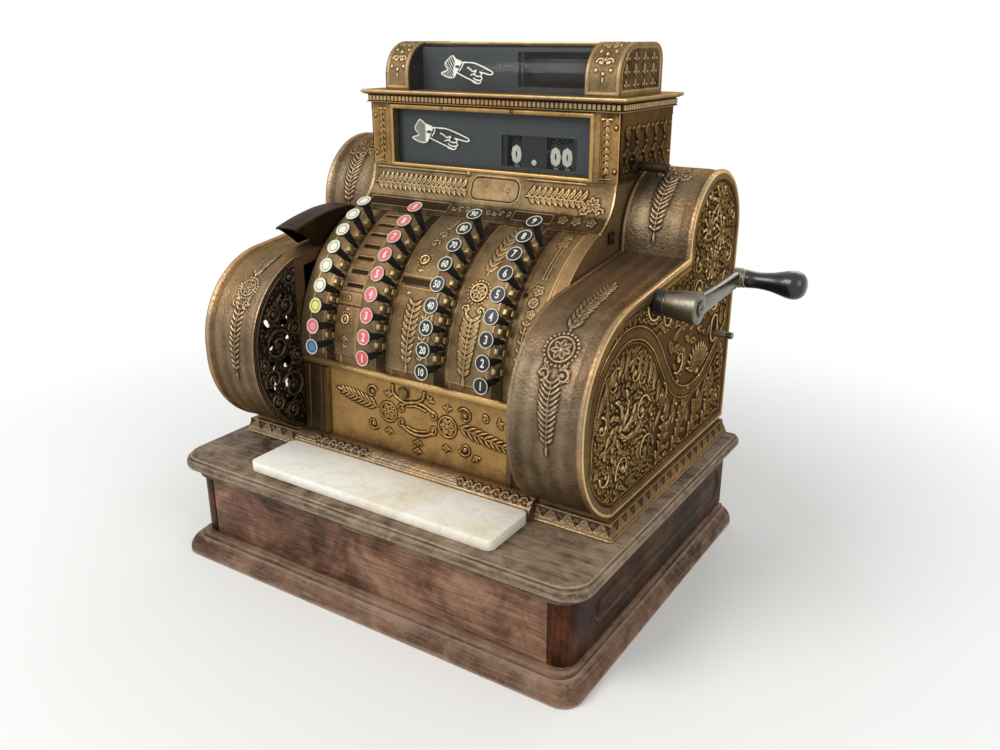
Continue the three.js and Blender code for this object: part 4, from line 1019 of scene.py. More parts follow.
def key_pieces():
    """Rimmed discs on stems: a plain ring in the first column, figures in the others."""
    for column, (x, faces) in enumerate(zip(KEY_COLUMNS, KEY_FACES), 1):
        for row, face in enumerate(faces, 1):
            angle = KEY_FIRST + (row - 1) * KEY_PITCH
            outward = np.array([0.0, -math.cos(angle), math.sin(angle)])
            top = np.array([x, *KEYBOARD]) + outward * KEY_TOP
            piece = Piece()
            for material, sides, profile in KEY_FORMS + ([KEY_MARK] if column == 1 else []):
                piece.add(lathe(profile, top, outward, sides), material)
            if column > 1:
                label = str(row * 10) if column == 3 else str(row)
                form = figures(label, 9.0 if len(label) == 1 else 8.2, 0.74, 0.35, 0.022)
                up = (0.0, math.sin(angle), math.cos(angle))
                piece.add(placed(form, top - outward * 0.25, (1, 0, 0), up), 2)
            name = f"key_{column}_{row}"
            piece.make(f"{name}_look", [key_rim, face, ink_white, key_black], name, [name])


key_pieces()


# ---------------------------------------------------------------- crank
def gear_outline(centre, teeth, turn):
    """A pinion's outline, with straight-sided teeth."""
    module, step = 2.2, 2 * math.pi / teeth
    root, tip = module * (teeth / 2 - 1), module * (teeth / 2 + 0.8)
    marks = ((root, -0.25), (tip, -0.12), (tip, 0.12), (root, 0.25))
    return [spot(*centre, r, turn + (i + share) * step) for i in range(teeth) for r, share in marks]


# the crank's turned forms: material, sides, centre, and pairs of x and radius
CRANK_FORMS = [
    (2, 48, CRANK, [(246.35, 0), (246.35, 12.6), (246.8, 13.0), (254.9, 13.0), (255.3, 12.7), (255.4, 0)]),
    (0, 48, CRANK, [(255.2, 0), (255.2, 11.9), (256.4, 11.8), (257.0, 12.6), (258.0, 13.2), (264.0, 13.7),
                    (266.0, 14.6), (276.0, 15.2), (286.5, 16.3), (288.2, 16.3), (289.0, 15.6), (289.3, 14.6),
                    (289.3, 9.0), (288.6, 8.6), (288.6, 0)]),
    (2, 32, CRANK, [(288.0, 8.8), (289.5, 8.6), (289.6, 6.6), (288.4, 6.4), (288.0, 8.8)]),
    (1, 24, CRANK, [(255.0, 6.2), (290.6, 6.2), (291.4, 5.4), (291.6, 0)]),
    (0, 36, ARM_END, [(280.3, 0), (280.3, 9.6), (281.0, 10.4), (288.4, 10.4), (289.2, 9.6), (290.2, 9.2),
                      (291.0, 9.8), (292.6, 9.9), (293.6, 9.4), (294.3, 8.6), (294.3, 0)]),
    (1, 16, ARM_END, [(292.3, 4.0), (344.6, 4.0), (344.6, 0)]),
    (1, 24, CRANK, [(132.2, 0), (132.2, 6.0), (255.0, 6.0), (255.0, 0)]),
]
ARM_HALVES = [(0.0, 11.0), (0.12, 10.4), (0.5, 8.6), (0.9, 8.0), (1.0, 7.6)]  # share of the length, half width
GRIP_LENGTH, GRIP_RADIUS = 62, 15
GRIP_SHARES = [(0.0, 0.58), (0.015, 0.63), (0.05, 0.635), (0.09, 0.6), (0.2, 0.585), (0.32, 0.61), (0.45, 0.69),
               (0.58, 0.83), (0.68, 0.94), (0.76, 0.99), (0.82, 0.985), (0.88, 0.92), (0.93, 0.8), (0.97, 0.6),
               (0.99, 0.38), (1.0, 0.0)]


def crank_pieces():
    """The crank with its hub, arm, shaft and pinion, and its grip."""
    piece = Piece()
    for material, sides, centre, profile in CRANK_FORMS:
        piece.add(lathe(profile, (0, *centre), (1, 0, 0), sides), material)
    y, z = CRANK
    piece.add(box((291.0, y - 5, z - 0.8), (291.9, y + 5, z + 0.8), 0.1), 2)  # the screw's slot
    ahead = np.array([math.cos(ARM_TILT), math.sin(ARM_TILT)])
    across = np.array([-ahead[1], ahead[0]])
    edge = lambda half: [np.array(CRANK) + ahead * ARM_LENGTH * a + across * half * h for a, h in ARM_HALVES]
    end = arc(ARM_END, 7.6, math.pi / 2 + ARM_TILT, -math.pi / 2 + ARM_TILT, 12)
    piece.add(prism(np.concatenate([edge(1), end, edge(-1)[::-1]]), 280.3, 289.2, 0, 2.4), 0)
    turn = math.atan2(KEYBOARD[1] - z, KEYBOARD[0] - y)
    piece.add(prism(gear_outline(CRANK, 16, turn), 132.2, 141.2, 0, 0.3), 1)
    piece.make("crank_look", [nickel, steel, black_japan], "crank", ["crank"], "nickel")

    profile = [(a * GRIP_LENGTH, r * GRIP_RADIUS) for a, r in GRIP_SHARES]
    bore = [(50.5, 0), (50.5, 4.5), (0.0, 4.5)]
    grip = Piece().add(lathe(bore + profile, (294.6, *ARM_END), (1, 0, 0), 48), 0)
    grip.make("crank_grip_look", [ebony], "crank_grip", ["crank_grip"], "ebonised_wood")


crank_pieces()


# ---------------------------------------------------------------- skins of the side castings
SKIN = 0.85
SIDE_FACE = CASE_OUT - 2.5
STUD_SLOT = (153.0, 163.0, 262.5, 285.0)


def hump(values, middle, half):
    """A rounded rib's cross-section, 1 at its middle."""
    return np.sqrt(np.clip(1 - ((values - middle) / half) ** 2, 0, None))


def beside(path, distance):
    """A path moved sideways, to the left of its direction for a positive distance."""
    ahead = np.gradient(np.asarray(path, float), axis=0)
    ahead /= np.linalg.norm(ahead, axis=1, keepdims=True)
    return path + distance * stack(-ahead[:, 1], ahead[:, 0])


def band(name, side, path, ornament, low_stretch=None):
    """The hammered band over a side casting: u runs along its path, v away from the tower."""
    track = Track(path)
    wide = CASE_OUT - CASE_IN
    field = Relief(0, track.length, 0, wide, 1.0)
    u, v = field.u, field.v
    field.base = SKIN + 0.9 * hump(v, 1.5, 1.7) - 0.7 * hump(v, 69.5, 5.0) + 0.9 * hump(v, 77.0, 2.7)
    field.base[v > wide - 0.7] = 0.3
    # painted highlight on the outer and inner beads, painted shade in the hollow beside the outer bead
    field.glow = 0.4 * (np.abs(v - 76) < 2.9) + 0.2 * (v < 3) - 0.1 * (np.abs(v - 69.5) < 5)
    ornament(field)
    if low_stretch:
        start, end = low_stretch
        hidden = (u > start) & (u < end) & (v < 37)
        field.base[hidden] = 0.22
        field.h[hidden] = 0
    rest = (np.abs(field.h) < 0.05) & (v > 4) & (v < 64)
    field.glow += 0.05 - 0.2 * np.clip((150 - u) / 110, 0, 1) * (path[0][1] < LOBE[1])
    field.glow += rest * 0.1 * np.sin(v * 0.35 + 0.9 * np.sin(u * 0.02)) * np.sin(u * 0.013)

    field.punch, field.crease, field.outline = 0.02, 0.75, 0.5
    placing = lambda s, across, h: track.skin(side * (CASE_IN + across), s, h)
    field.patch(name, placing, [band_metal], 1.6)


def lobe_ornament(middle, top, centre, bottom, size=1.0):
    """Frond, ringed flower, scrolls and a hanging frond along a band."""

    def draw(field):
        frond = [(centre + 20 * size, middle), ((centre + top) / 2, middle + 0.5), (top, middle - 1)]
        field.fern(frond, 12, 16 * size, 3.3, 2.1, 0.75, -0.4)
        field.ring(centre, middle, 12.5 * size, 1.3, 1.5)
        field.pearls(centre, middle, 16.6 * size, 24, 1.5, 1.4)
        field.rosette(centre, middle, 10.5 * size, 7, 1.4)
        for hand in (-1, 1):
            u, v = centre - 25 * size, middle + hand * 10 * size
            field.scroll(u, v, 6.5 * size, math.pi * (hand < 0), 1.2, hand, 1.7, 1.6, 4)
            field.leaf(centre - 20 * size, middle + hand * 4, math.pi - hand * 1.9, 13 * size, 4, 1.5, -hand)
        frond = [(centre - 31 * size, middle), ((centre + bottom) / 2, middle + 1), (bottom, middle + 2)]
        field.fern(frond, 12, 14 * size, 2.6, 1.7, 2.05, 0.5)

    return draw


def drum_ornament(middle, tip, head):
    """A flower head on top of the drum with a frond hanging from it."""

    def draw(field):
        frond = [(head - 8, middle), ((head + tip) / 2, middle), (tip, middle)]
        field.fern(frond, 11, 14, 2.8, 1.8, 2.05, 0.5)
        field.rosette(head + 6, middle, 11, 8, 1.6)
        for hand in (-1, 1):
            field.scroll(head + 2, middle + hand * 13, 6, math.pi / 2, 1.1, hand, 1.7, 1.5, 4)
            field.scroll(head + 16, middle + hand * 10, 5, 0.0, 1.1, -hand, 1.6, 1.5, 4)

    return draw


CASE_RIM = [  # inset, x, and painted light: a painted highlight on the outer bead, painted shade where the rim meets the plate
    (-0.7, 244.4, 0.5), (-0.8, 245.4, 0.8), (-0.5, 246.0, 0.9), (0.4, 246.25, 0.9), (1.8, 246.2, 0.75),
    (3.0, 245.8, 0.6), (4.4, 245.1, 0.25), (6.0, 244.5, 0.15), (7.2, 244.3, 0.2), (7.8, 244.4, 0.25),
    (8.3, 244.2, 0.1), (8.6, 243.55, -0.3), (-0.7, 244.4, 0.2)]


def case_rim(name, side, drum):
    """The rounded rim round a casting's outer face, with a painted highlight on its outer bead."""
    form = swept_moulding(case_outline(drum), [(inset, side * x) for inset, x, _ in CASE_RIM[:-1]])
    shine = np.repeat([row[2] for row in CASE_RIM], len(form[0]) // len(CASE_RIM))
    Piece().add(form, wear=shine).make(name, [gilt], slot="brass")


def inside_case(y, z, drum, inset):
    """Whether a point lies within a casting's outline, moved inwards."""
    centre_y, centre_z, radius = drum
    lift = np.clip(z - LOBE[1], 0, LOBE_STRAIGHT)
    lobe = np.hypot(y - LOBE[0], z - LOBE[1] - lift) < LOBE_RADIUS - inset
    deck = (y > LOBE[0] - 12) & (y < CASE_BACK - inset) & (z < np.minimum(deck_z(y, inset), centre_z))
    column = (np.abs(y - centre_y) < radius - inset) & (z < centre_z) & (y > centre_y)
    top = np.hypot(y - centre_y, z - centre_z) < radius - inset
    return (lobe | deck | column | top) & (z > CASE_FOOT + inset)


SIDE_LINE = [(-128, 160), (-147, 200), (-147, 255), (-128, 300), (-88, 325), (-46, 322), (-10, 300),
             (18, 266), (48, 234), (88, 219), (128, 223), (162, 243), (199, 270)]
SIDE_SCROLLS = [  # y, z, radius, start angle, hand
    (-100, 287, 19, 0.6, 1), (-56, 284, 21, 2.4, -1), (-34, 238, 20, 0.4, 1), (-74, 190, 19, 3.6, -1),
    (-22, 190, 23, 0.0, 1), (184, 182, 15, 0.3, 1), (15, 238, 15, 1.2, -1), (56, 264, 17, 4.0, 1),
    (60, 316, 19, 0.9, -1), (20, 322, 15, 2.6, 1), (100, 332, 17, 3.6, -1), (182, 322, 18, 1.8, 1),
    (150, 306, 14, 0.4, -1), (96, 360, 13, 2.2, 1), (182, 356, 14, 0.8, -1), (112, 430, 12, 4.0, -1),
    (184, 404, 12, 5.4, 1), (146, 443, 8, 1.5, 1), (-124, 250, 13, 1.5, -1), (-112, 196, 14, 3.0, 1)]
SIDE_FANS = [(150, 420, 26, 2.9), (118, 392, 22, 1.8), (160, 386, 24, 3.3), (140, 352, 24, 2.7)]
SIDE_LEAVES = [(80, 290, 0.3, 50, 0.8), (40, 300, 1.2, 46, -0.9), (120, 340, 1.4, 30, 0.5),
               (-120, 225, 1.2, 60, 0.6), (-60, 215, 0.2, 40, 0.9)]  # y, z, angle, length, bend
ROSE, SHELL = (-84, 236), (112, 236)
SIDE_SPRAYS = [  # sprays of large leaves in the lower rear: points, pairs of leaves, their length
    ([(8, 160), (22, 180), (26, 212)], 5, 17), ([(50, 160), (70, 176), (74, 200)], 5, 18),
    ([(96, 160), (116, 174), (120, 198)], 5, 18), ([(140, 160), (156, 178), (158, 214)], 6, 17),
    ([(190, 205), (188, 225), (180, 246)], 4, 13)]


def side_plate(name, side, drum, working):
    """The carved outer face of a casting: u is y and v is z."""
    field = Relief(-165, 212, 145, 470, 1.0)
    field.punch, field.crease = 0.42, 1.0
    line = smooth_path(SIDE_LINE, 12)
    field.stroke(line, 6.4, 1.2)
    for distance in (6.6, -6.2):
        field.stroke(beside(line, distance), 0.9, 1.7)
    field.beads(beside(line, -9.4), 3.6, 1.2, 1.0)
    drop = drum[1] - RIGHT_DRUM[1]
    for i in range(26):  # a rose of acanthus, dense and turned, at the front
        field.leaf(*spot(*ROSE, 3 + 1.05 * i, i * 2.4), i * 2.4 + 0.5, 15, 6.0, 2.3, 0.9)
    field.dome(*ROSE, 5, 2.4)
    for u, v, r, angle in SIDE_FANS:
        field.palmette(u - drop, v + drop * (v > 360), r, angle, 2.3)
    for u, v, r, start, hand in SIDE_SCROLLS:
        lift = drop if v > 360 else 0
        field.scroll(u - lift, v + lift, r * 0.86, start, 0.9, hand, 1.7, 1.9, 11, True, 0.95)
    for i in range(11):  # the shell in the hollow of the line, below the stud
        angle = math.pi * (0.12 + 0.076 * i)
        field.leaf(SHELL[0] + 5 * math.cos(angle), SHELL[1] + 3 * math.sin(angle), angle, 32, 6.5, 2.0)
    field.dome(*SHELL, 5, 2.3)
    under = beside(line, -15)[28:-14:5]
    for k, (u, v) in enumerate(under):  # lobes that hang below the line
        field.leaf(u, v, -1.9 + 0.05 * k, 24, 9, 2.2, -0.7)
    for k in range(13):  # long slender stems with buds, all leaning to the rear
        u, v = -34 + 15 * k, 164 + 17 * (k % 3)
        bend = 0.5 if k % 2 else -0.4
        field.leaf(u, v, 1.15 - 0.03 * k, 44 - 2 * (k % 3), 4.6, 1.9, bend)
        tip = 1.15 - 0.03 * k + bend * 0.5
        field.dome(*spot(u, v, 45, tip), 2.6, 2.1)
    for points, pairs, length in SIDE_SPRAYS:
        field.fern(points, pairs, length, 7, 2.1, 0.8, 0.6)
    for u, v, angle, length, bend in SIDE_LEAVES:
        field.leaf(u, v, angle, length, 6.5, 2.0, bend)

    uu, vv = field.u, field.v
    clear = np.zeros_like(field.hole)
    if working:
        hub = np.hypot(uu - CRANK[0], vv - CRANK[1])
        field.h[hub < 21] = 0
        field.ring(*CRANK, 18.5, 1.6, 2.1)
        field.beads(arc(CRANK, 22, 0, 2 * math.pi, 60), 3.8, 1.3, 1.5)
        clear |= hub < 23
        y0, y1, z0, z1 = STUD_SLOT
        field.hole = (uu > y0) & (uu < y1) & (vv > z0) & (vv < z1)
        stud = np.hypot(uu - STUD[0], vv - 273.7 - np.clip(vv - 273.7, -6, 6))
        field.h[stud < 13] = 0
        field.h += 1.9 * hump(stud, 9.5, 1.8)
        clear |= stud < 13

    def empty(u, v):
        i, j = np.searchsorted(field.us, u), np.searchsorted(field.vs, v)
        return not clear[min(j, len(field.vs) - 1), min(i, len(field.us) - 1)] and inside_case(u, v, drum, 13)

    for size, height, seed in ((17, 1.9, 3), (12, 1.8, 4)):
        field.filler(empty, size, height, seed)
    dense = lambda u, v: empty(u, v) and (u < -28 or v > 325 or u > 165)
    for size, height, seed in ((8, 1.6, 5), (5.5, 1.4, 6)):
        field.filler(dense, size, height, seed)
    field.filler(lambda u, v: empty(u, v) and (u < 0 or v > 340), 4.2, 1.2, 7)
    if not working:
        for u, v, angle in SOUND_HOLES:
            slot = near_slot(uu, vv, u, v, angle)
            field.h[slot < 1.6] *= 0.3
            field.h += 1.3 * hump(slot, 1.5, 0.35) * (slot > 1)
            field.hole |= slot < 1.0
    edge = ~inside_case(uu, vv, drum, 13.5)
    field.h[edge] *= 0.0
    field.h += edge * inside_case(uu, vv, drum, 11.5) * 0.9
    field.base += 0.1 + 0.12 * np.sin(uu * 1.7) * np.sin(vv * 1.9)

    placing = lambda y, z, h: stack(side * (SIDE_FACE + np.minimum(h, 2.45)), y, z)
    field.patch(name, placing, [side_metal], 2.2, lambda y, z: inside_case(y, z, drum, 8.2))


SOUND_CENTRE = (-52.0, 228.0)
SOUND_SPOTS = [(r, turn + i * 2 * math.pi / count)
               for r, count, turn in ((15, 6, 0.3), (36, 12, 0.1), (56, 18, 0.25)) for i in range(count)]
SOUND_HOLES = [(*spot(*SOUND_CENTRE, r, angle), angle) for r, angle in SOUND_SPOTS]


def near_slot(u, v, u0, v0, angle):
    """Distance from an elliptical opening's middle, 1 on its edge."""
    along = (u - u0) * math.cos(angle) + (v - v0) * math.sin(angle)
    across = (v - v0) * math.cos(angle) - (u - u0) * math.sin(angle)
    return np.hypot(along / 7.5, across / 3.6)


def pierced_casting():
    """The left casting with its sound holes cut through the outer face."""
    casting = link_object("left_casting_body", nodes["left_casting"].data.copy())
    cutters = Piece()
    for u, v, angle in SOUND_HOLES:
        turns = np.linspace(0, 2 * math.pi, 20, endpoint=False)
        along, across = 7.4 * np.cos(turns), 3.5 * np.sin(turns)
        outline = stack(u + along * math.cos(angle) - across * math.sin(angle),
                        v + along * math.sin(angle) + across * math.cos(angle))
        cutters.add(prism(outline, -250, -232, 0, 0))
    cutter = link_object("cutters", cutters.mesh("cutters"))
    modifier = casting.modifiers.new("sound_holes", "BOOLEAN")
    modifier.object, modifier.operation, modifier.solver = cutter, "DIFFERENCE", "EXACT"
    pierced = worked_out(casting)
    casting.modifiers.clear()
    casting.data = pierced
    bpy.data.objects.remove(cutter)
    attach(casting, "register")
    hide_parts("left_casting")


WALL_SCROLLS = [  # y, z, radius, start angle, hand
    (-128, 258, 19, 0.6, 1), (-109, 204, 18, 2.6, -1), (-112, 302, 14, 2.0, 1), (-139, 220, 13, 3.6, -1),
    (-104, 334, 10, 0.5, -1), (-100, 240, 11, 4.0, 1), (-132, 296, 11, 1.0, -1), (-112, 174, 11, 0.5, 1),
    (-134, 190, 10, 2.0, 1), (-100, 272, 10, 3.0, -1), (-152, 240, 8, 5.0, 1), (-122, 160, 7, 1.0, -1)]


def pierced_wall():
    """The scrolled inner wall of the left casting, in front of the panel, with its piercings."""
    field = Relief(-164, -91, 148, 356, 0.8)
    uu, vv = field.u, field.v
    for row in range(6):
        for column in range(2 if 1 <= row <= 4 else 1):
            y, z = PANEL_FACE - 25 * (column + 1), LOBE[1] + 6 + (row - 2.5) * 25
            field.hole |= np.hypot(uu - y, vv - z) < 7.7
    for y, z, r, start, hand in WALL_SCROLLS:
        field.scroll(y, z, r, start, 1.5, hand, 2.4, 2.6, 8, True, 0.62)
    field.hole &= field.h < 0.35
    field.stroke(Track(lobe_path(LEFT_DRUM, 3.5)).points, 1.6, 1.8)

    def inner(y, z):
        lift = np.clip(z - LOBE[1], 0, LOBE_STRAIGHT)
        return y > LOBE[0] or LOBE_RADIUS - np.hypot(y - LOBE[0], z - LOBE[1] - lift) > 4

    field.filler(inner, 9, 1.9, 8)
    field.filler(inner, 5, 1.4, 9)
    placing = lambda y, z, h: stack(-CASE_IN + 0.25 + h, y, z)
    keep = lambda y, z: inside_case(y, z, LEFT_DRUM, 1.0) & (y < PANEL_FACE - 3.5)
    field.patch("pierced_wall", placing, [dark_metal], 2.2, keep)


def casting_skins():
    right_lobe, left_lobe = lobe_path(RIGHT_DRUM), lobe_path(LEFT_DRUM)
    band("right_lobe_band", 1, right_lobe, lobe_ornament(41, 318, 212, 121))
    band("right_drum_band", 1, drum_path(RIGHT_DRUM), drum_ornament(37, 23, 92))
    case_rim("right_rim", 1, RIGHT_DRUM)
    side_plate("right_side_plate", 1, RIGHT_DRUM, True)
    length = Track(left_lobe).length
    hood_start = length - (LEFT_DRUM[0] - LEFT_DRUM[2] + 89) / math.cos(DECK_SLOPE)
    band("left_lobe_band", -1, left_lobe, lobe_ornament(29, 262, 211, 112, 0.8), (hood_start, length + 1))
    band("left_drum_band", -1, drum_path(LEFT_DRUM), drum_ornament(40, 23, 90))
    case_rim("left_rim", -1, LEFT_DRUM)
    side_plate("left_side_plate", -1, LEFT_DRUM, False)
    pierced_casting()
    pierced_wall()


casting_skins()


# ---------------------------------------------------------------- keyboard and frieze
FACE_START, FACE_END = math.radians(-2), math.radians(72)


def face_path():
    """From the foot of the keyboard over its curve and up the hollow sweep to the tower."""
    angles = np.linspace(FACE_START, FACE_END, 90)
    curve = np.array(KEYBOARD) + KEYBOARD_RADIUS * stack(-np.cos(angles), np.sin(angles))
    start, end = curve[-1], np.array([TOWER_FRONT, TOWER_Z])
    bend = start + (end - start) * (0.92, 0.3)
    t = np.linspace(0, 1, 30)[1:, None]
    return np.concatenate([curve, (1 - t) ** 2 * start + 2 * t * (1 - t) * bend + t**2 * end])


FACE = Track(face_path())
KEY_ARC = KEYBOARD_RADIUS * (FACE_END - FACE_START)


def along_face(degrees):
    return KEYBOARD_RADIUS * (math.radians(degrees) - FACE_START)


KEY_PLATES = [  # x and degrees from and to, height, groove, edge
    (-149, -131, 0, 71, 1.6, 3.0, 0.25), (-113, -81, 28, 70.5, 2.8, 0, 0.3),
    (-114, -80, 22.6, 27.6, 3.8, 0, 0.3), (-113, -81, 1.4, 22.0, 3.0, 4.5, 0.45),
    (-36, 9, 38.2, 71, 3.6, 3.6, 0.35), (-34, 19, 0.6, 34.4, 2.6, 4.2, 0.45),
    (45, 97, 0.6, 70.6, 2.7, 3.6, 0.5), (121, 149.3, 0.6, 71, 2.5, 2.8, 0.55)]
KEY_TULIPS = [(-98, 9.5, 7, -90), (-98, 4.8, 5, 90), (-98, 20.1, 4, 90), (-15, 40.8, 5, 90), (-20, 31, 5, 90)]
KEY_FERNS = [  # (x, degrees) along the stem, then pairs, length, width, height, spread and bend of the leaves
    ([(-12, 62), (-10, 65), (-8, 68.5)], 4, 6, 2.2, 1.0, 0.9, -0.35),
    ([(-8, 28), (-8.5, 16), (-9, 4)], 10, 13, 4.2, 1.6, 1.9, 0.8),
    ([(10, 29), (9.5, 17), (9, 5)], 9, 7, 3.0, 1.3, 1.9, 0.8),
    ([(68, 26), (67.5, 15), (67, 4)], 11, 15, 4.4, 1.7, 1.9, 0.8),
    ([(69, 44), (71, 56), (73, 67.5)], 9, 13, 3.6, 1.5, 0.8, -0.3),
    ([(132, 29), (131, 17), (130, 5)], 7, 7, 2.8, 1.1, 1.9, 0.8)]
CHEEK = 149.8  # the side cheeks start here


def keyboard_face():
    """The key plates: u is x, and v is the length along the curve; a(degrees) gives a height on it."""
    field = Relief(-TOWER_HALF, TOWER_HALF, 0, KEY_ARC, 0.85)
    u, v = field.u, field.v
    field.base[:] = 0.3
    field.base[np.abs(u) > CHEEK] = 2.75
    # the raised cheeks lighter, with painted highlights on their edge lines
    field.glow = np.where(np.abs(u) > CHEEK, 0.12, -0.06)
    field.glow += 0.5 * (np.abs(np.abs(u) - 151) < 1.0) + 0.35 * (np.abs(u) > 162.6)
    for x in KEY_COLUMNS:
        # painted shade under each column of keys, and a painted highlight along each rib
        field.glow -= 0.25 * (np.abs(u - x) < 7.5)
        field.base += 0.9 * hump(u, x + 14, 1.3) * (np.abs(u) < 149) + 0.6 * hump(u, x - 9, 1.0)
        field.glow += 0.3 * (np.abs(u - x - 14) < 1.3)
    a = along_face
    for u0, u1, low, high, height, groove, edge in KEY_PLATES:
        field.plate(u0, u1, a(low), a(high), height, groove, edge)
    for i in range(7):
        middle = a(67.2) - (a(67.2) - a(31)) * i / 6
        field.sink(-108, -84, middle - 3.4, middle + 0.6, 2.4, 0.9)
        field.line(-108, middle + 1.8, -84, middle + 1.8, 0.8, 0.5)
    # a painted shadow under the step of the plate above
    field.sink(-36, 9, a(35.4), a(38.0), 0.0, 0.9)
    # the notch darkened as painted shade
    notch = np.hypot(u - 120.5, v - a(38.5)) < 3.2
    field.base[notch] = 0.6
    field.glow[notch] = -0.5
    field.lock(-98, a(16.6), 4.6)
    field.lock(-15, a(46), 5)
    for x, degrees, size, angle in KEY_TULIPS:
        field.tulip(x, a(degrees), size, math.radians(angle))
    for line, *leaves in KEY_FERNS:
        field.fern([(x, a(degrees)) for x, degrees in line], *leaves)
    for x, degrees, r, width, height in ((-99, 25.1, 2.4, 0.8, 0.9), (67, 36.5, 9.5, 1.0, 1.5),
                                         (133, 36, 5, 0.9, 1.2)):
        field.ring(x, a(degrees), r, width, height)
    field.scroll(-14, a(54.5), 5, 0, 1.1, 1, 1.2, 1.1, 5)
    field.scroll(-11, a(59.5), 4.5, 3.1, 1.1, -1, 1.2, 1.1, 5)
    field.pearls(67, a(36.5), 13, 20, 1.2, 1.1)
    for hand in (-1, 1):
        field.scroll(67 + hand * 9, a(29.4), 4.5, math.pi * (hand < 0), 1.1, hand, 1.4, 1.4, 4)
    field.stroke([(133, a(46)), (134, a(62))], 1.1, 0.9)
    field.stroke([(136.5, a(46)), (137.5, a(62))], 0.8, 0.7)
    field.rosette(67, a(36.5), 8, 6, 1.4)
    field.rosette(133, a(36), 4.5, 5, 1.2)
    for degrees, size in ((31.5, 5), (41, 6), (63.5, 6), (67.5, 5)):
        field.rosette(134, a(degrees), size, 5, 1.2, degrees)
    for x in KEY_COLUMNS:  # the bores that the shanks run in
        for row in range(9):
            middle = KEYBOARD_RADIUS * (KEY_FIRST + row * KEY_PITCH - FACE_START)
            field.hole |= np.hypot(u - x, v - middle) < 3.4
    field.patch("keyboard_face", FACE.skin, [brass], 1.7)


def key_tabs():
    """Brass fins that stand between the stems of each column."""
    tabs = Piece()
    broad = box((-2.5, -3.5, 157.9), (2.5, 3.5, 168.8), 1.6, 3)
    thin = box((6.6, -3.4, 157.9), (8.2, 3.4, 165.5), 0.6)
    for x in KEY_COLUMNS:
        for row in range(8):
            angle = KEY_FIRST + (row + 0.5) * KEY_PITCH
            pose = (x + 0.5, *KEYBOARD), (1, 0, 0), (0, math.sin(angle), math.cos(angle))
            tabs.add(placed(broad, *pose), wear=0.62 - 0.05 * row)
            if row < 4:
                tabs.add(placed(thin, *pose), wear=0.4)
    tabs.make("key_tabs", [tab_brass], slot="brass")


def frieze():
    """The hollow sweep between the keys and the tower, with its two small windows."""
    field = Relief(-TOWER_HALF, TOWER_HALF, KEY_ARC, FACE.length, 0.75)
    u, v = field.u, field.v
    sweep = FACE.length - KEY_ARC
    at = lambda share: KEY_ARC + sweep * share
    field.base[:] = 1.5
    field.base -= 0.7 * (v < at(0.03))
    # painted highlights along the raised ends
    field.glow = np.where(np.abs(u) > 161.5, 0.6, -0.04)
    field.base += 0.8 * (np.abs(u) > 161.5)
    for u0, u1 in ((-154, -38), (50, 99)):
        field.sink(u0 + 2, u1 - 2, at(0.16), at(0.34), 1.35, 0.95)
        frame_points = [(u0, at(0.145)), (u1, at(0.145)), (u1, at(0.355)), (u0, at(0.355))]
        for first, second in zip(frame_points, frame_points[1:] + frame_points[:1]):
            field.line(*first, *second, 0.8, 0.6)
    field.glow += 0.15 * ((u > 55) & (u < 94) & (v > at(0.18)) & (v < at(0.26)))
    for i in range(9):
        field.scroll(-30 + i * 9.2, at(0.25), 3.6, i, 1.0, 1 if i % 2 else -1, 1.0, 1.0, 3)
    for x in (112, 128, 146):
        field.rosette(x, at(0.27), 5.5, 5, 1.2, x)
    field.rosette(140, at(0.62), 9, 7, 1.5)
    for hand in (-1, 1):
        field.scroll(140 + hand * 9, at(0.5), 5, 0, 1.1, hand, 1.4, 1.4, 4)
    for u0, u1 in ((-158, -24), (56, 128)):
        field.line(u0, at(0.66), u1, at(0.66), 1.2, 1.4)
        for i in range(int((u1 - u0) / 7.2)):
            x = u0 + 2 + i * 7.2
            field.leaf(x, at(0.685), 0.45, 15, 6.4, 2.0, 1.1)
            field.leaf(x + 3, at(0.64), -0.3, 11, 5.4, 1.7, -1.0)
        field.line(u0, at(0.955), u1, at(0.955), 1.0, 0.9)
    field.dome(-24, at(0.965), 3.4, 1.8)
    field.glow -= 0.2 * np.clip((at(0.42) - v) / 2, 0, 1) * (np.abs(u) < 161)
    field.plate(-19, 49, at(0.46), at(0.96), 2.7, 2.8, 0.25, 12)
    field.dome(33, at(0.71), 1.8, 1.0)
    field.patch("frieze_face", FACE.skin, [brass], 1.6)


PANEL_SCROLLS = [  # x, z, radius, start angle, hand
    (-60, 212, 7.5, 0.5, 1), (-58.5, 174.5, 7.0, -0.5, -1), (68, 211, 9, 2.6, -1), (69, 173, 8, 3.6, 1),
    (94, 213, 4.5, 2.0, -1), (-17, 201, 5.5, 1, 1), (-17, 185, 5.5, -1, -1), (26, 201, 5.5, 2, -1),
    (26, 185, 5.5, 4, 1)]
PANEL_TULIPS = [  # x, z, angle in degrees
    (-35.6, 212, 90), (-35.2, 173, -90), (45.5, 212, 90), (44.3, 171, -90), (5.3, 168, -90), (21, 217, 60),
    (5, 158, -90), (82, 168, -60), (110, 211, 20)]
PANEL_LINE = [(-30, 226), (-28, 216), (-14, 209.5), (2, 212), (12, 218), (14, 226)]
PANEL_LOCK = (-14, -89.6, 220.2)
PANEL_LEAN = 4 / 82


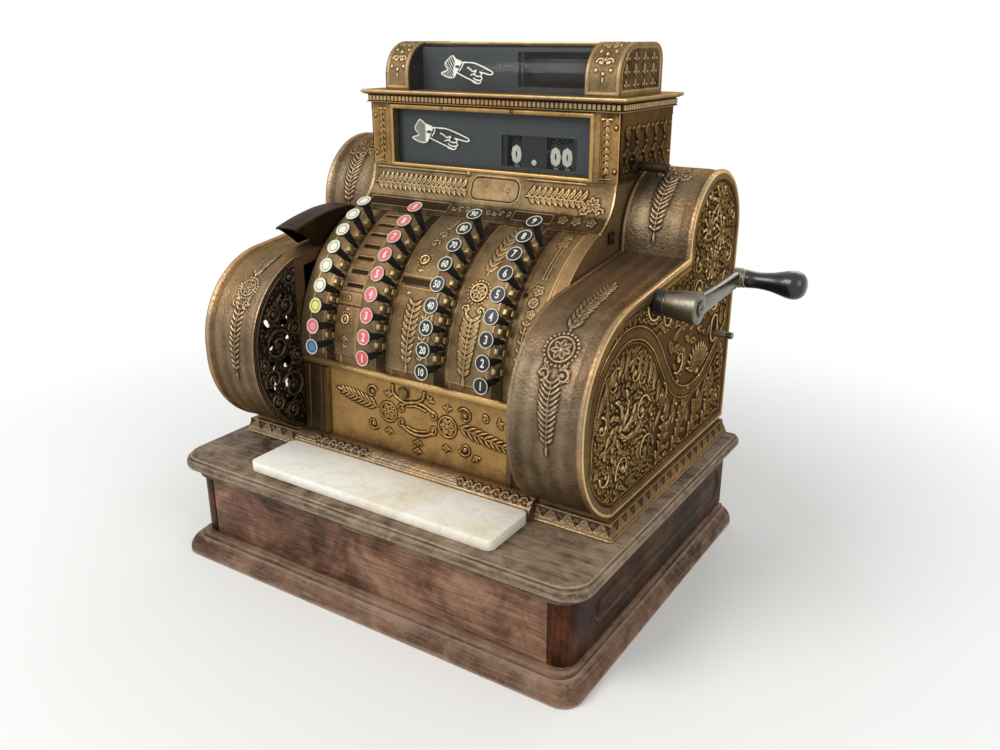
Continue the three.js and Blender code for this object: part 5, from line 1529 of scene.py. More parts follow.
def front_panel_face():
    """The tooled plate under the keyboard."""
    field = Relief(-122.4, 122.4, 147.4, 232.6, 0.7)
    v = field.v
    for u0, v0, r in ((-36.1, 193.1, 11), (45.3, 193.2, 11.5)):
        field.ring(u0, v0, r, 1.2, 1.1)
        field.rosette(u0, v0, r * 0.8, 6, 1.3)
        for i in range(5):
            angle = i * 1.257 + 0.5
            field.scroll(*spot(u0, v0, r * 0.55, angle), 2.6, angle, 1.0, 1, 1.0, 1.2, 0)
    for u0, v0, r, start, hand in PANEL_SCROLLS:
        field.scroll(u0, v0, r, start, 1.3, hand, 1.1, 1.2, 0)
    for v0, v1 in ((205, 211), (181, 175)):
        field.stroke(smooth_path([(-17, v0), (-4, v1), (12, v1), (26, v0)], 8), 1.5, 1.4)
        field.stroke(smooth_path([(-10, v0), (2, v0 + (v1 - v0) * 0.4), (16, v0)], 8), 1.0, 1.1)
    for u0, v0, angle in PANEL_TULIPS:
        field.tulip(u0, v0, 7.5, math.radians(angle), 1.1)
    field.fern([(-52, 196), (-75, 200), (-103, 205)], 8, 14, 2.8, 1.4, 0.75, -0.3)
    field.fern([(60, 197), (88, 192), (119, 187)], 8, 14, 2.8, 1.4, 0.75, -0.3)
    field.stroke(smooth_path(PANEL_LINE, 8), 1.5, 1.8)
    # weights of the painted light: no painted highlight, and strong darkening beside the tooling as patina and
    # painted shade
    field.punch, field.crease, field.outline = 0.0, 0.35, 2.6
    shade = np.clip((v - 212) / 18, 0, 1) ** 2 * 0.16 + np.clip((166 - v) / 18, 0, 1) * 0.16
    field.glow = 0.3 * (v > 229.5) - shade + 0.16
    face = lambda x, z, h: stack(x, -93.85 + PANEL_LEAN * np.minimum(z - 147, 82) - h, z)
    keep = lambda x, z: np.hypot(x - PANEL_LOCK[0], z - PANEL_LOCK[2]) > 6.4
    field.patch("front_panel_face", face, [gilt], 1.2, keep)


def front_panel_fittings():
    """The ledge over the panel, its lock and the pilasters beside it."""
    ledge = [(-94.2, 232.6), (-95.0, 233.4), (-95.3, 235.2), (-94.9, 237.2), (-93.8, 238.2), (-90, 238.2),
             (-90, 232.6)]
    under = [(-91.8, 229.4), (-92.6, 230.4), (-92.2, 231.6), (-93.4, 232.5), (-89, 232.6), (-89, 229.2)]
    mouldings = Piece().add(prism(ledge, -160.9, 160.9, 0, 0.4), wear=0.7)
    mouldings.add(prism(under, -160.9, 160.9, 0, 0.2), wear=0.3).make("panel_ledge", [gilt], slot="brass")

    rim = [(0, 0), (0, 6.3), (4.4, 6.3), (5.2, 5.7), (5.4, 4.8), (5.0, 4.3), (5.0, 0)]
    lock = Piece().add(lathe(rim, PANEL_LOCK, (0, -1, 0), 28), 0)
    lock.add(lathe([(4.0, 0), (4.0, 2.6), (5.5, 2.2), (5.7, 0)], PANEL_LOCK, (0, -1, 0), 20), 1)
    lock.add(box((-14.5, -95.5, 217.9), (-13.5, -94.5, 222.5), 0.1), 2)
    lock.make("panel_lock", [nickel, steel, black_japan], slot="nickel")

    columns = Piece()
    for side in (-1, 1):
        for u0, u1, rise, shine in ((123.2, 160.7, 0.3, 0.0), (124, 130, 1.6, 0.25), (134, 139, 1.0, 0.1),
                                    (152, 159.6, 1.5, 0.2)):
            x0, x1 = sorted((side * u0, side * u1))
            section = [(x0, 0.7), (x0 + 0.7, 0), (x1 - 0.7, 0), (x1, 0.7), (x1, 3), (x0, 3)]
            rings = [np.array([(x, y - rise + back, z) for x, back in section])
                     for z, y in ((147.2, -96.5), (229.0, -92.5))]
            columns.add(rings_form(rings), wear=shine)
    columns.make("panel_pilasters", [side_metal], slot="dark_brass")


keyboard_face()
key_tabs()
frieze()
front_panel_face()
front_panel_fittings()


# ---------------------------------------------------------------- base frame
SKIRT_LOW, SKIRT_TOP, SKIRT_HALF, SKIRT_FRONT, SKIRT_TAPER = 125.3, 141.7, 252.3, -109.0, 5.3


def skirt():
    """The leafy skirt of the base frame, round both sides."""
    drop, pitch = SKIRT_TOP - SKIRT_LOW, 19.0
    slope = math.hypot(drop, SKIRT_TAPER)
    for side, name in ((-1, "left_skirt"), (1, "right_skirt")):
        turn = 0 if side > 0 else -math.pi
        corner = arc((side * (SKIRT_HALF - 2), SKIRT_FRONT + 2), 2, -math.pi / 2, turn, 6)
        plan = [[(side * 164.5, SKIRT_FRONT)], corner, [(side * SKIRT_HALF, CASE_BACK - 0.2)]]
        track = Track(np.concatenate(plan))
        field = Relief(0, track.length, 0, slope, 0.8)
        u, v = field.u, field.v
        field.base = 0.2 + np.interp(v, [0, 1.0, 2.2, 3.0, 8.5, slope - 1.6, slope - 1.0, slope],
                                     [1.2, 1.9, 1.9, 1.2, 0.8, 0.5, 1.1, 0.9])
        # a painted highlight along the top edge and painted shade in the groove line; the lower band is lighter
        field.glow = 0.4 * (v > slope - 1.5) + 0.16 * (v < 8) + 0.2 * (v < 2.4) - 0.4 * (np.abs(v - 3) < 0.5)
        share = np.abs((u / pitch) % 1 - 0.5) * 2
        tooth = (slope - 2.0 - v) - (1.12 - share * 1.35) * 9.5  # below 0 inside the hanging leaves
        inside = (tooth < 0) & (v < slope - 2.0)
        field.base += 0.45 * np.exp(-((tooth / 0.55) ** 2)) * (v < slope - 1.8) - 0.75 * inside
        # a painted highlight along the hanging leaves' rims and painted shade in their sunk fields
        field.glow += 0.3 * np.exp(-(((tooth - 0.3) / 0.6) ** 2)) * (v < slope - 1.8) - 0.42 * inside
        for i in range(int(track.length / pitch)):
            for turn in (-0.5, 0.0, 0.5):
                field.leaf((i + 0.5) * pitch, slope - 3.0, -math.pi / 2 + turn, 6.0, 2.6, 0.6)

        def placing(s, along, h):
            share = along / slope
            return stack(*track.at(s, side * (SKIRT_TAPER * share - h)), SKIRT_LOW + drop * share)

        field.patch(name, placing, [band_metal], 1.1)


def front_rail():
    """The moulded rail under the front panel, with a row of small scrolls."""
    track = Track(np.array([(-116.2, 134.0), (-115.8, 136.6), (-114.2, 139.0), (-112.4, 140.9),
                            (-109.0, 143.9), (-104.6, 146.6), (-101.0, 147.2)]))
    field = Relief(-164.0, 164.0, 0, track.length, 0.8)
    v = field.v
    field.base = 0.25 + 0.8 * hump(v, 5.0, 1.6) + 0.5 * hump(v, 8.4, 1.0)
    # a painted highlight on the bead, over a lighter ground
    field.glow = 0.15 * (np.abs(v - 5.0) < 1.5) + 0.28
    for u0, count in ((-134, 7), (70, 8)):
        for i in range(count):
            field.scroll(u0 + 5 + i * 11.4, 11.0, 4.8, 2.6, 0.9, -1, 2.0, 2.1, 2)
            field.leaf(u0 + 10 + i * 11.4, 8.0, 1.3, 9, 3.6, 1.7, -0.8)

    # the raised scrolls darkened, and painted shade on the ground beside them
    field.punch, field.crease, field.outline = -0.2, 0.35, 1.6
    field.patch("front_rail_face", track.skin, [band_metal], 1.3)


skirt()
front_rail()


# ---------------------------------------------------------------- tower
WINDOW_Z, WINDOW_HALF, WINDOW_TALL = 478.1, 131, 31  # the window's middle, half its width and height
TOWER_LOW, TOWER_HIGH = 443.6, 515.0


def tower_front():
    """The window frame with its leaf strips, screws and thin lines."""
    field = Relief(-TOWER_HALF, TOWER_HALF, TOWER_LOW, TOWER_HIGH, 0.8)
    u, v = field.u, field.v
    window = np.maximum(np.abs(u) - WINDOW_HALF, np.abs(v - WINDOW_Z) - WINDOW_TALL)
    field.base = np.where(window < 12.2, 2.65, 0.25) + 0.8 * hump(window, 2.4, 2.3)
    # a painted highlight on the frame's bead round the window
    field.glow = 0.3 * (window < 4.4) + 0.02
    # the thin grooves, sunk and darkened with painted shade
    line = np.exp(-(((window - 5.2) / 0.5) ** 2)) + np.exp(-(((window - 17.0) / 0.5) ** 2)) * (window > 12.3)
    field.base -= 0.5 * line
    field.glow -= 0.8 * line
    field.hole = window < 0.1
    for side in (-1, 1):
        x = side * 149.5
        field.base[(np.abs(u - x) < 5.8) & (v > 448) & (v < 508)] = 0.9
        for z0 in (447.6, 508.4):
            field.line(x - 6, z0, x + 6, z0, 0.7, 1.2)
        for i in range(8):
            z = 452 + i * 7.0
            field.leaf(x - 3.2, z, 0.75, 8.5, 4.6, 1.5, 0.5)
            field.leaf(x + 3, z + 1.5, 2.2, 6, 3.2, 1.2, -0.5)
        for z in (456, 500):  # screws
            away = np.hypot(u - side * 160, v - z)
            field.h[away < 3] = 0
            field.dome(side * 160, z, 2.2, 1.0)
            field.glow -= 0.5 * (away < 3.0) * (away > 1.8)
    for x in (-60, 35):
        field.dome(x, 512.3, 1.6, 1.0)
        field.glow -= 0.6 * (np.hypot(u - x, v - 512.3) < 1.7)
    # painted highlights on the outer edges, and painted shade under the cornice towards the top
    field.glow += 0.4 * (np.abs(u) > 162.8) - 0.3 * np.clip((v - 507) / 6, 0, 1)

    field.patch("tower_front_face", lambda x, z, h: stack(x, TOWER_FRONT - h, z), [gilt], 1.6)


def tower_sides():
    """Leaves that hang in a bordered field on each side of the tower."""
    for side, name in ((-1, "tower_left_face"), (1, "tower_right_face")):
        field = Relief(TOWER_FRONT, TOWER_BACK, TOWER_LOW, TOWER_HIGH, 0.9)
        u, v = field.u, field.v
        border = margin(u, v, TOWER_FRONT, TOWER_BACK, TOWER_LOW, 505.5)
        field.base = np.where(border < 7, 1.5, 0.25) + 0.5 * (v > 506)
        # the border lighter, with a painted highlight on its inner edge
        field.glow = 0.12 * (border < 7) + 0.3 * (np.abs(border - 7.2) < 0.8) - 0.04
        field.punch, field.crease, field.outline = 0.1, 0.5, 0.6
        for i in range(5):
            x = 72 + i * 24.0
            field.leaf(x, 501, -math.pi / 2, 15, 9.0, 2.4)
            field.dome(x + 12, 498, 2.4, 1.8)
            field.dome(x, 482.5, 2.6, 2.0)
            for hand in (-1, 1):
                field.leaf(x, 478, -math.pi / 2 + hand * 0.9, 12, 5.5, 2.0, -hand * 1.1)
                field.dome(x + hand * 7.5, 472, 2.6, 2.0)
                field.leaf(x + hand * 4, 461, -math.pi / 2 + hand * 0.4, 10, 4.5, 1.6, -hand * 0.5)
            field.leaf(x, 473, -math.pi / 2, 15, 7, 2.2)
            field.dome(x + 12, 466, 2.0, 1.6)
            field.dome(x, 455, 2.0, 1.6)

        placing = lambda y, z, h: stack(side * (TOWER_HALF + h), y, z)
        keep = lambda y, z: (side < 0) | (np.hypot(y - 99, z - 464) > 5.4)  # clear of the shaft's stub
        field.patch(name, placing, [side_metal], 1.5, keep)


def tower_fittings():
    """The shaft's stub on the right side and the small bracket below it."""
    profile = [(164.3, 0), (164.3, 9.2), (166.6, 9.2), (167.4, 8.2), (167.8, 5.2), (199, 5.2), (200, 4.4),
               (200, 0)]
    stub = Piece().add(lathe(profile, (0, 99, 461.5), (1, 0, -0.02), 28), wear=0.3)
    stub.make("tower_stub", [dark_metal], slot="blackened_steel")
    screw = [(167.6, 0), (167.6, 2.6), (169, 2.2), (169.3, 0)]
    bracket = Piece().add(box((164.5, 36, 383), (167.8, 47, 396), 1.2, 3), wear=0.1)
    bracket.add(lathe(screw, (0, 41.5, 389.5), (1, 0, 0), 16), wear=0.4)
    bracket.make("latch_bracket", [dark_metal], slot="blackened_steel")


WHEEL_RADIUS = 35.95


def number_wheels():
    """Ten-flat wheels with a painted figure on every flat."""
    angles = np.array([math.pi / 10 * (2 * i + 1) for i in range(10)])
    rim = stack(WHEELS[0] + WHEEL_RADIUS * np.cos(angles + math.pi), WHEELS[1] + WHEEL_RADIUS * np.sin(angles))
    apothem = WHEEL_RADIUS * math.cos(math.pi / 10)
    for name in ("dollar_wheel", "ten_cent_wheel", "cent_wheel"):
        (left, *_), (right, *_) = corners(name)
        hub = [(left - 0.1, 0), (left - 0.1, 8), (right + 0.1, 8), (right + 0.1, 0)]
        wheel = Piece().add(prism(rim, left + 0.05, right - 0.05, 0, 0.5), 0)
        wheel.add(lathe(hub, (0, *WHEELS), (1, 0, 0), 20), 2)
        for digit in range(10):
            turn = -digit * math.pi / 5
            form = figures(str(digit), 20.8, 0.95, 0.2, 0.07)
            up = (0.0, math.sin(turn), math.cos(turn))
            points, faces = placed(form, np.array([(left + right) / 2, *WHEELS]), (1, 0, 0), up)
            points += np.array([0.0, -math.cos(turn), math.sin(turn)]) * (apothem + 0.05)
            wheel.add((points, faces), 1)
        wheel.make(f"{name}_look", [black_japan, figure_paint, steel], name, [name], "wheel_enamel")


# sheets behind the glass: finish, then the lowest and highest x, y and z
WINDOW_SHEETS = [
    (0, -138.5, 14, 64.3, 65.1, 444, 512.8), (0, 110, 138.5, 64.3, 65.1, 444, 512.8),
    (0, 14, 110, 64.3, 65.1, 485.5, 512.8), (0, 14, 110, 64.3, 65.1, 444, 451.5),
    (1, 14, 20.5, 66.3, 67, 446, 486), (1, 39.5, 71.5, 66.3, 67, 446, 486), (1, 104, 110, 66.3, 67, 446, 486)]
SIGN_SHEETS = [
    (0, -109.5, 22, 85.2, 86.0, 530.2, 577), (0, 114.5, 120.6, 85.2, 86.0, 530.2, 577),
    (0, 22, 114.5, 85.2, 86.0, 572.6, 577), (0, 22, 114.5, 85.2, 86.0, 530.2, 536),
    (1, 22, 28.2, 88.4, 89, 531, 575)]


def window_grounds():
    """The dark sheets behind both windows, open before the wheels and the flags, and the painted point."""
    for name, sheets in (("window_ground", WINDOW_SHEETS), ("sign_ground", SIGN_SHEETS)):
        ground = Piece()
        for finish, x0, x1, y0, y1, z0, z1 in sheets:
            ground.add(box((x0, y0, z0), (x1, y1, z1), 0), finish)
        if name == "window_ground":
            point = [(0, 0), (0, 3.2), (0.5, 2.8), (0.5, 0)]
            ground.add(lathe(point, (55.5, 66.3, 457), (0, -1, 0), 20), 2)
            ground.make(name, [window_dark, black_japan, figure_paint], slot="wheel_enamel")
        else:
            ground.make(name, [window_dark, black_japan], slot="wheel_enamel")


# the pointing hand, as shares of its width and height: the cuff, then the lines of the hand
CUFF = [(0.0, 0.72), (0.10, 1.0), (0.20, 0.86), (0.33, 0.76), (0.31, 0.60), (0.27, 0.42), (0.22, 0.22),
        (0.10, 0.20), (-0.05, 0.34), (0.08, 0.46), (0.02, 0.60)]
HAND = [
    [(0.34, 0.74), (0.46, 0.74), (0.60, 0.72), (0.74, 0.63), (0.88, 0.52), (0.98, 0.43), (1.0, 0.36),
     (0.94, 0.33), (0.84, 0.37), (0.74, 0.41)],
    [(0.27, 0.38), (0.36, 0.30), (0.48, 0.20), (0.60, 0.11), (0.70, 0.03)],
    [(0.74, 0.41), (0.78, 0.34), (0.76, 0.27), (0.68, 0.27), (0.63, 0.33)],
    [(0.76, 0.27), (0.79, 0.19), (0.75, 0.13), (0.66, 0.15), (0.62, 0.21)],
    [(0.75, 0.13), (0.76, 0.06), (0.71, 0.02), (0.63, 0.05), (0.59, 0.11)],
    [(0.48, 0.56), (0.55, 0.49), (0.60, 0.42), (0.66, 0.47), (0.64, 0.36), (0.56, 0.30)],
    [(0.38, 0.70), (0.36, 0.56), (0.32, 0.44)],
]


def pointing_hand(name, u0, v0, wide, tall, placing):
    """A painted hand in outline with a filled cuff."""
    field = Relief(u0 - 6, u0 + wide + 3, v0 - 3, v0 + tall + 3, 0.42)
    u, v = field.u, field.v
    scale = np.array([wide, tall])
    for line in HAND:
        field.stroke(smooth_path(line, 6) * scale + (u0, v0), 0.95, 0.5)
    cuff = np.array(CUFF) * scale + (u0, v0)
    inside = np.zeros(u.shape, bool)
    for (a, b), (c, d) in zip(cuff, np.roll(cuff, -1, axis=0)):
        if b != d:
            inside ^= ((b > v) != (d > v)) & (u < (c - a) * (v - b) / (d - b) + a)
    field.stroke(smooth_path(np.concatenate([cuff, cuff[:1]]), 4), 0.85, 0.5)
    share_u, share_v = (u - u0) / wide, (v - v0) / tall
    hatched = (u * 0.75 + v * 0.66) % 2.6 < 1.25  # the cuff's end is hatched, and the rest is filled
    field.h[inside & (hatched | (share_u >= 0.2))] = 0.5
    field.h[inside & (np.hypot(share_u - 0.27, share_v - 0.58) < 0.045)] = 0  # the button
    field.hole = field.h < 0.05
    field.h *= 0.2
    field.patch(name, placing, [ink_white], 0.5)


def sign_outline(inset, steps=16):
    """The sign box's section in (y, z), from the front foot over the top to the rear foot."""
    front, back = SIGN_FRONT_ROUND - inset, SIGN_BACK_ROUND - inset
    y0, y1, top = SIGN_FRONT + inset, SIGN_BACK - inset, SIGN_TOP - inset
    return np.concatenate([[(y0, SIGN_Z)], arc((y0 + front, top - front), front, math.pi, math.pi / 2, steps),
                           arc((y1 - back, top - back), back, math.pi / 2, 0, steps // 2), [(y1, SIGN_Z)]])


def hands():
    pointing_hand("lower_hand", -106, 465, 78, 32, lambda x, z, h: stack(x, 61.15 - h, z))
    pointing_hand("upper_hand", -59, 9, 66, 31, Track(sign_outline(1.75, 30)).skin)


CORNICE = [  # height, inset, and painted light: painted shade in the recessed band behind the teeth, painted highlight on the upper lip
    (515.4, 5.2, 0.1), (516.4, 5.0, 0.2), (517.0, 6.6, -0.65), (524.0, 6.6, -0.65), (524.6, 4.4, -0.15),
    (525.4, 2.6, 0.1), (526.2, 0.9, 0.1), (527.0, 0.4, 0.35), (528.6, 0.2, 0.6), (529.3, 0.5, 0.6),
    (529.8, 1.2, 0.2)]


def cornice():
    """The moulded slab under the sign box, with a row of small teeth."""
    rings = []
    for z, inset, _ in CORNICE:
        x1, y0, y1 = 174.2 - inset, 45 + inset, 196 - inset
        rings.append(np.array([(-x1, y0, z), (x1, y0, z), (x1, y1, z), (-x1, y1, z)]))
    piece = Piece().add(rings_form(rings), wear=np.repeat([row[2] for row in CORNICE], 4))
    points, faces = tube([(0, 0, -3.2), (0, 0, -2.6), (0, 0, 2.4), (0, 0, 3.0)], [1.1, 2.1, 2.1, 1.1], 10)
    # the teeth stand lighter in front of the band's painted shade
    for i in range(60):
        piece.add((points + (-163.5 + i * 327 / 59, 51.4, 520.4), faces), wear=0.45)
    for side in (-1, 1):
        for i in range(25):
            piece.add((points + (side * 167.8, 55.5 + i * 5.5, 520.4), faces), wear=0.35)
    piece.make("cornice", [brass], replaces=["sign_housing"], slot="brass")


def cap_gap(y, z, foot):
    """How far inside the outline of a cap's end a point lies."""
    front_y, front_z = SIGN_FRONT + SIGN_FRONT_ROUND, SIGN_TOP - SIGN_FRONT_ROUND
    back_y, back_z = SIGN_BACK - SIGN_BACK_ROUND, SIGN_TOP - SIGN_BACK_ROUND
    gap = margin(y, z, SIGN_FRONT, SIGN_BACK, foot, SIGN_TOP)
    front = np.minimum(gap, SIGN_FRONT_ROUND - np.hypot(y - front_y, z - front_z))
    gap = np.where((y < front_y) & (z > front_z), front, gap)
    back = np.minimum(gap, SIGN_BACK_ROUND - np.hypot(y - back_y, z - back_z))
    return np.where((y > back_y) & (z > back_z), back, gap)


def sign_cap(name, x0, x1, side):
    """An ornamented cap: its shell, the skin that runs over it and the carved end."""
    end = x1 if side > 0 else x0
    outer, within = sign_outline(2.0), sign_outline(4.2)
    section = [(x0 + 0.3, outer), (x1 - 0.3, outer), (x1 - 0.3, within), (x0 + 0.3, within), (x0 + 0.3, outer)]
    shell = Piece().add(rings_form([stack(x, *outline.T) for x, outline in section], False), wear=0.1)
    shell.add(prism(sign_outline(2.1), *sorted((end - side * 0.4, end - side * 2.6)), axis=0, bevel=0.2))
    shell.make(f"{name}_shell", [brass], replaces=["sign_housing"], slot="brass")

    track = Track(sign_outline(1.7))
    field = Relief(x0, x1, 0, track.length, 0.8)
    u, v = field.u, field.v
    border = margin(u, v, x0, x1, 0.5, track.length)
    field.base = np.where(border < 4.2, 1.5, 0.3) - 1.2 * (border < 0.5) + 0.1 * hump(border, 2.1, 2)
    # the raised border lighter, as rubbing and painted highlight
    field.glow = 0.3 * (border < 4.2)
    field.punch = 0.5
    middle = (x0 + x1) / 2
    for foot in range(9):
        s = 26 + foot * 22.0
        for hand in (-1, 1):
            field.scroll(middle + hand * 5.0, s + 9, 4.2, math.pi * (hand < 0), 1.1, hand, 1.4, 1.1, 3)
            field.dome(middle + hand * 8.5, s, 2.2, 1.2)
        field.dome(middle, s - 3.5, 2.2, 1.2)
        field.leaf(middle, s - 7, -math.pi / 2, 6, 2.6, 1.0)
    field.patch(f"{name}_face", track.skin, [brass], 1.2)

    field = Relief(55, 160, 530, 583.4, 0.8)
    gap = cap_gap(field.u, field.v, 530)
    field.base = np.where(gap < 6.2, 0.9, 0.0) + 0.3 * hump(gap, 3, 2.6)
    # the border lighter, with a painted highlight on its edge line; the field inside darker
    field.glow = 0.3 * (gap < 6.2) - 0.2 + 0.3 * (np.abs(gap - 6.2) < 0.8)
    field.punch = 0.8
    for column in range(4):
        y = 72 + column * 22
        for row, (size, height) in enumerate(((4.5, 1.0), (7, 1.1), (5, 1.0))):
            field.leaf(y, 538 + row * 13, math.pi / 2 + 0.2, size + 5, size, height)
            field.dome(y - 5, 541 + row * 13, 1.6, 1.0)
            field.dome(y + 5, 541 + row * 13, 1.6, 1.0)
    placing = lambda y, z, h: stack(end + side * (h - 0.3), y, z)
    field.patch(f"{name}_end", placing, [brass], 1.2, lambda y, z: cap_gap(y, z, 529) > 0.6)


def sign_sheet():
    """The sheet over the top and back of the sign box, between the caps."""
    outer, within = sign_outline(2.1), sign_outline(4.4)
    front_y = SIGN_FRONT + (SIGN_BACK - SIGN_FRONT) * 0.34
    path = np.concatenate([outer[outer[:, 0] > front_y], within[within[:, 0] > front_y][::-1]])
    sheet = Piece().add(prism(path, *CAP_INNER, 0, 0), wear=0.1)
    sheet.add(box((-110, front_y - 1, 580.3), (121, front_y + 3, 582.9), 0.6), wear=0.6)
    sheet.make("sign_sheet", [brass], replaces=["sign_housing"], slot="brass")


def sign_bearings():
    """The bushes that the flags' shaft turns in."""
    bearings = Piece()
    for x0, x1 in ((-140.5, -132), (151, 159.5)):
        section = [(x0, 5.4), (x1, 5.4), (x1, 3.4), (x0, 3.4), (x0, 5.4)]
        bearings.add(lathe(section, (0, *FLAGS), (1, 0, 0), 20))
    bearings.make("sign_bearings", [steel], replaces=["sign_housing"], slot="steel")


tower_front()
tower_sides()
tower_fittings()
number_wheels()
window_grounds()
hands()
cornice()
sign_cap("left_cap", -142.0, CAP_INNER[0], -1)
sign_cap("right_cap", CAP_INNER[1], 161.0, 1)
sign_sheet()
sign_bearings()


# ---------------------------------------------------------------- receipt hood
HOOD_TOPS = [(34.4, 386.0), (30.5, 390.2), (24, 394.0), (15, 396.9), (2, 398.5), (-24, 397.0), (-53, 391.6),
             (-71, 387.0), (-83, 383.4)]  # y and z along the roof, from the rear
HOOD_MOUTH = (-51.0, -82.6)  # where the side walls' front edges start and end
HOOD_LEFT, HOOD_RIGHT, HOOD_ROUND, HOOD_THICK = -200.4, -167.6, 3.0, 1.5
HOOD_SWING = 20  # the rear feet's radius round the hinge, squared


def receipt_hood():
    """A curved channel of dark sheet: roof and two side walls, with an oblique open mouth."""
    hinge_y, hinge_z = HOOD_HINGE
    rings, shine = [], []
    for y, top in smooth_path(HOOD_TOPS, 8):
        foot, highest = deck_z(min(y, hinge_y)) + 1.5, top - HOOD_ROUND - 0.6
        if y > hinge_y:  # the rear foot swings over the deck
            foot = max(foot, hinge_z - math.sqrt(max(HOOD_SWING - (y - hinge_y) ** 2, 0)))
        share = np.clip((HOOD_MOUTH[0] - y) / (HOOD_MOUTH[0] - HOOD_MOUTH[1]), 0, 1)
        foot = min(foot + (top - 2.2 - foot) * share, highest) if share < 1 else highest
        ring = []
        for inset in (0.0, HOOD_THICK):
            a, b, t, r = HOOD_LEFT + inset, HOOD_RIGHT - inset, top - inset, HOOD_ROUND - inset
            left = arc((a + r, t - r), r, math.pi, math.pi / 2, 5)
            right = arc((b - r, t - r), r, math.pi / 2, 0, 5)
            section = np.concatenate([[(a, foot)], left, [((a + b) / 2, t + 0.5)], right, [(b, foot)]])
            ring.append(section[::-1] if inset else section)
        across, up = np.concatenate(ring).T
        rings.append(stack(across, y, up))
        # painted highlights: the roof's right shoulder is lighter than its left, the left shoulder and the
        # ridge lighter still at the mouth, and the inner faces get none
        edge = 0.45 if y < -78 else 0.0
        shine += [0.3] + [0.25 + edge] * 5 + [edge] + [0.5] * 5 + [0.4] + [0.0] * 13
    hood = Piece().add(rings_form(rings), 0, shine)
    hood.add(lathe([(-203.2, 0), (-203.2, 2), (-164.8, 2), (-164.8, 0)], (0, *HOOD_HINGE), (1, 0, 0), 16), 1)
    hood.make("receipt_hood_look", [hood_metal, steel], "receipt_hood", ["receipt_hood"], "blackened_steel")


def stud_and_drum():
    """The sliding stud on the right side, and the sign's drum."""
    profile = [(0, 0), (0, 8), (3, 8), (3, 4), (20, 3.9), (22, 3.2), (24, 3.2), (25, 4), (29.5, 4), (30.6, 3.0),
               (30.75, 0)]
    stud = Piece().add(lathe(profile, (237.25, *STUD), (1, 0, 0), 28))
    stud.make("side_stud_look", [nickel], "side_stud", ["side_stud"], "nickel")

    (left, *_), (right, *_) = corners("sign_drum")
    half = 17 * math.sin(math.pi / 4)
    y, z = FLAGS
    drum = Piece().add(box((28.75, y - half, z - half), (112.65, y + half, z + half), 0.5), 0)
    shaft = [(left + 0.05, 0), (left + 0.05, 3), (right - 0.05, 3), (right - 0.05, 0)]
    drum.add(lathe(shaft, (0, *FLAGS), (1, 0, 0), 20), 1)
    drum.make("sign_drum_look", [black_japan, steel], "sign_drum", ["sign_drum"], "wheel_enamel")


COVER_HALF, COVER_LOW, COVER_TOP, COVER_MIDDLE = 164.5, 149, 434, 291


def rear_cover():
    """A plain plate with a moulded border, corner scrolls, screws and a rosette."""
    field = Relief(-COVER_HALF, COVER_HALF, COVER_LOW, COVER_TOP, 1.3)
    u, v = field.u, field.v
    border = margin(u, v, -COVER_HALF, COVER_HALF, COVER_LOW, COVER_TOP)
    field.base = 0.3 + 0.9 * hump(border, 3, 2.6) + 0.6 * hump(border, 14, 1.4)
    # the border bead and the inner line lighter, as painted highlight
    field.glow = 0.3 * (border < 5) + 0.2 * (np.abs(border - 14) < 1.3)
    for x in (-140, 140):
        for z in (172, 411):
            hand = 1 if (x > 0) == (z > 300) else -1
            field.scroll(x * 0.94, z + (8 if z < 300 else -8), 14, 0.5, 1.2, hand, 2.4, 1.2, 6)
    for x in (-157, 0, 157):
        for z in (156, COVER_MIDDLE, 427):
            if x or z != COVER_MIDDLE:
                field.dome(x, z, 3.2, 1.5)
                field.line(x - 2.6, z, x + 2.6, z, 0.5, 0.9)
    field.ring(0, COVER_MIDDLE, 46, 2.5, 1.2)
    field.ring(0, COVER_MIDDLE, 39, 1.4, 0.9)
    field.rosette(0, COVER_MIDDLE, 34, 12, 1.3)
    placing = lambda x, z, h: stack(x, CASE_BACK + np.minimum(h, 1.8), z)
    field.patch("rear_cover_face", placing, [brass], 1.6)


receipt_hood()
stud_and_drum()
rear_cover()


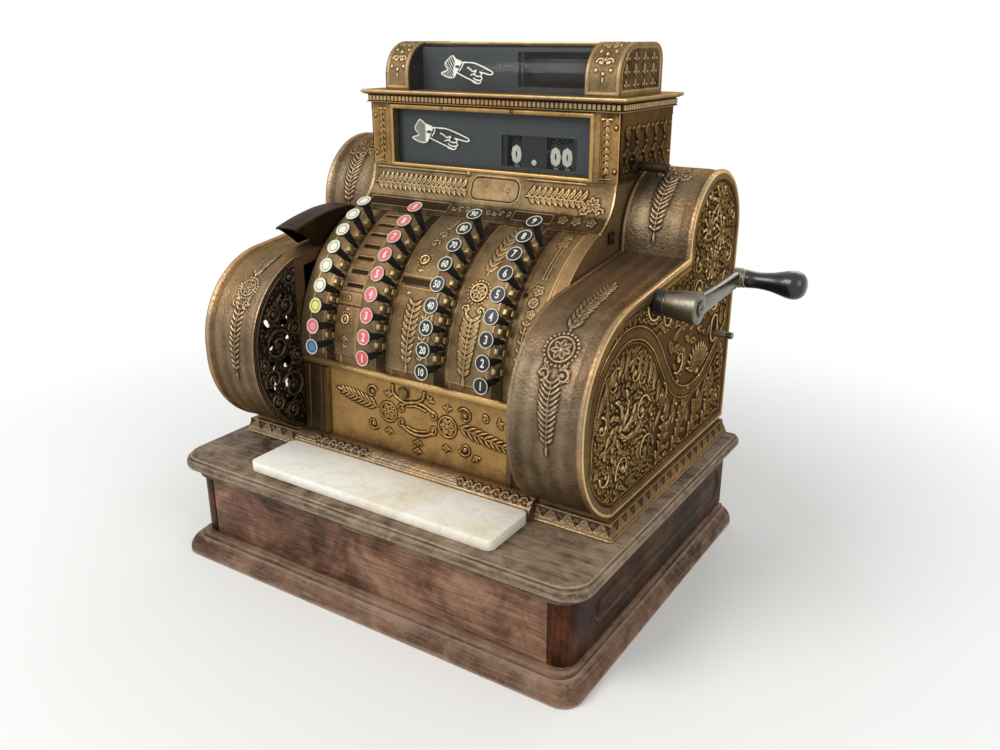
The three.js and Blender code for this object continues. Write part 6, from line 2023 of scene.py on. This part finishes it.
# ---------------------------------------------------------------- light, floor and camera
def sky():
    """A white world, at half strength for what only lights the piece."""
    scene = bpy.context.scene
    scene.view_settings.view_transform = "Standard"
    world = bpy.data.worlds.new("studio")
    scene.world = world
    world.use_nodes = True
    tree = world.node_tree
    ground = tree.nodes["Background"]
    ground.inputs["Color"].default_value = (1.0, 1.0, 1.0, 1.0)
    path = tree.nodes.new("ShaderNodeLightPath")
    seen = path.outputs["Is Camera Ray"]
    for ray in ("Is Glossy Ray", "Is Transmission Ray"):
        node = tree.nodes.new("ShaderNodeMath")
        node.operation = "MAXIMUM"
        tree.links.new(seen, node.inputs[0])
        tree.links.new(path.outputs[ray], node.inputs[1])
        seen = node.outputs[0]
    strength = tree.nodes.new("ShaderNodeMapRange")
    tree.links.new(seen, strength.inputs["Value"])
    strength.inputs["To Min"].default_value = 0.45
    strength.inputs["To Max"].default_value = 1.0
    tree.links.new(strength.outputs["Result"], ground.inputs["Strength"])


FLOOR_SIZE = 6.0  # metres, half
LAMPS = [("key", (-0.7, -1.5, 1.6), 1.1, 27.0), ("fill", (1.7, -0.6, 1.1), 1.2, 10.0),
         ("rear", (0.2, 1.6, 1.5), 1.2, 9.0)]  # place in metres, size, watts
LAMPS_AIM = (0, 0, 0.3)


def floor_and_lamps():
    """A floor that fades into the white world, and three soft lamps."""
    s = Shader("floor", Base_Color=srgb(246, 246, 244), Roughness=0.9)
    out = s.tree.nodes["Material Output"]
    glow = s.add("Emission", {"Color": (1, 1, 1, 1), "Strength": 1.0})
    away = s.add("VectorMath", {0: s.place}, operation="LENGTH").outputs["Value"]
    mix = s.add("MixShader", {0: s.range(away, 0.45, 0.95, 0.0, 1.0)})
    for source, target in ((s.surface, mix.inputs[1]), (glow, mix.inputs[2]), (mix, out.inputs["Surface"])):
        s.tree.links.new(source.outputs[0], target)
    mesh = bpy.data.meshes.new("floor")
    points = [(x * FLOOR_SIZE, y * FLOOR_SIZE, 0) for x, y in ((-1, -1), (1, -1), (1, 1), (-1, 1))]
    mesh.from_pydata(points, [], [(0, 1, 2, 3)])
    mesh.materials.append(s.material)
    link_object("floor", mesh)

    for name, place, size, power in LAMPS:
        light = bpy.data.lights.new(name, "AREA")
        light.size, light.energy = size, power
        lamp = link_object(name, light)
        lamp.location = place
        aim = np.array(LAMPS_AIM) - np.array(place)
        lamp.rotation_euler = (math.acos(aim[2] / -np.linalg.norm(aim)), 0.0, math.atan2(-aim[0], aim[1]))


def camera():
    """The photograph's camera, fitted to the cabinet, the tower and the key tops."""
    data = bpy.data.cameras.new("camera")
    data.sensor_width, data.lens, data.sensor_fit = 36.0, 32.714, "HORIZONTAL"
    eye = link_object("camera", data)
    eye.location = (0.5813, -0.81592, 0.58651)
    eye.rotation_euler = (math.pi / 2 - 0.3549, 0.0, 0.5742)
    bpy.context.scene.camera = eye


sky()
floor_and_lamps()
camera()
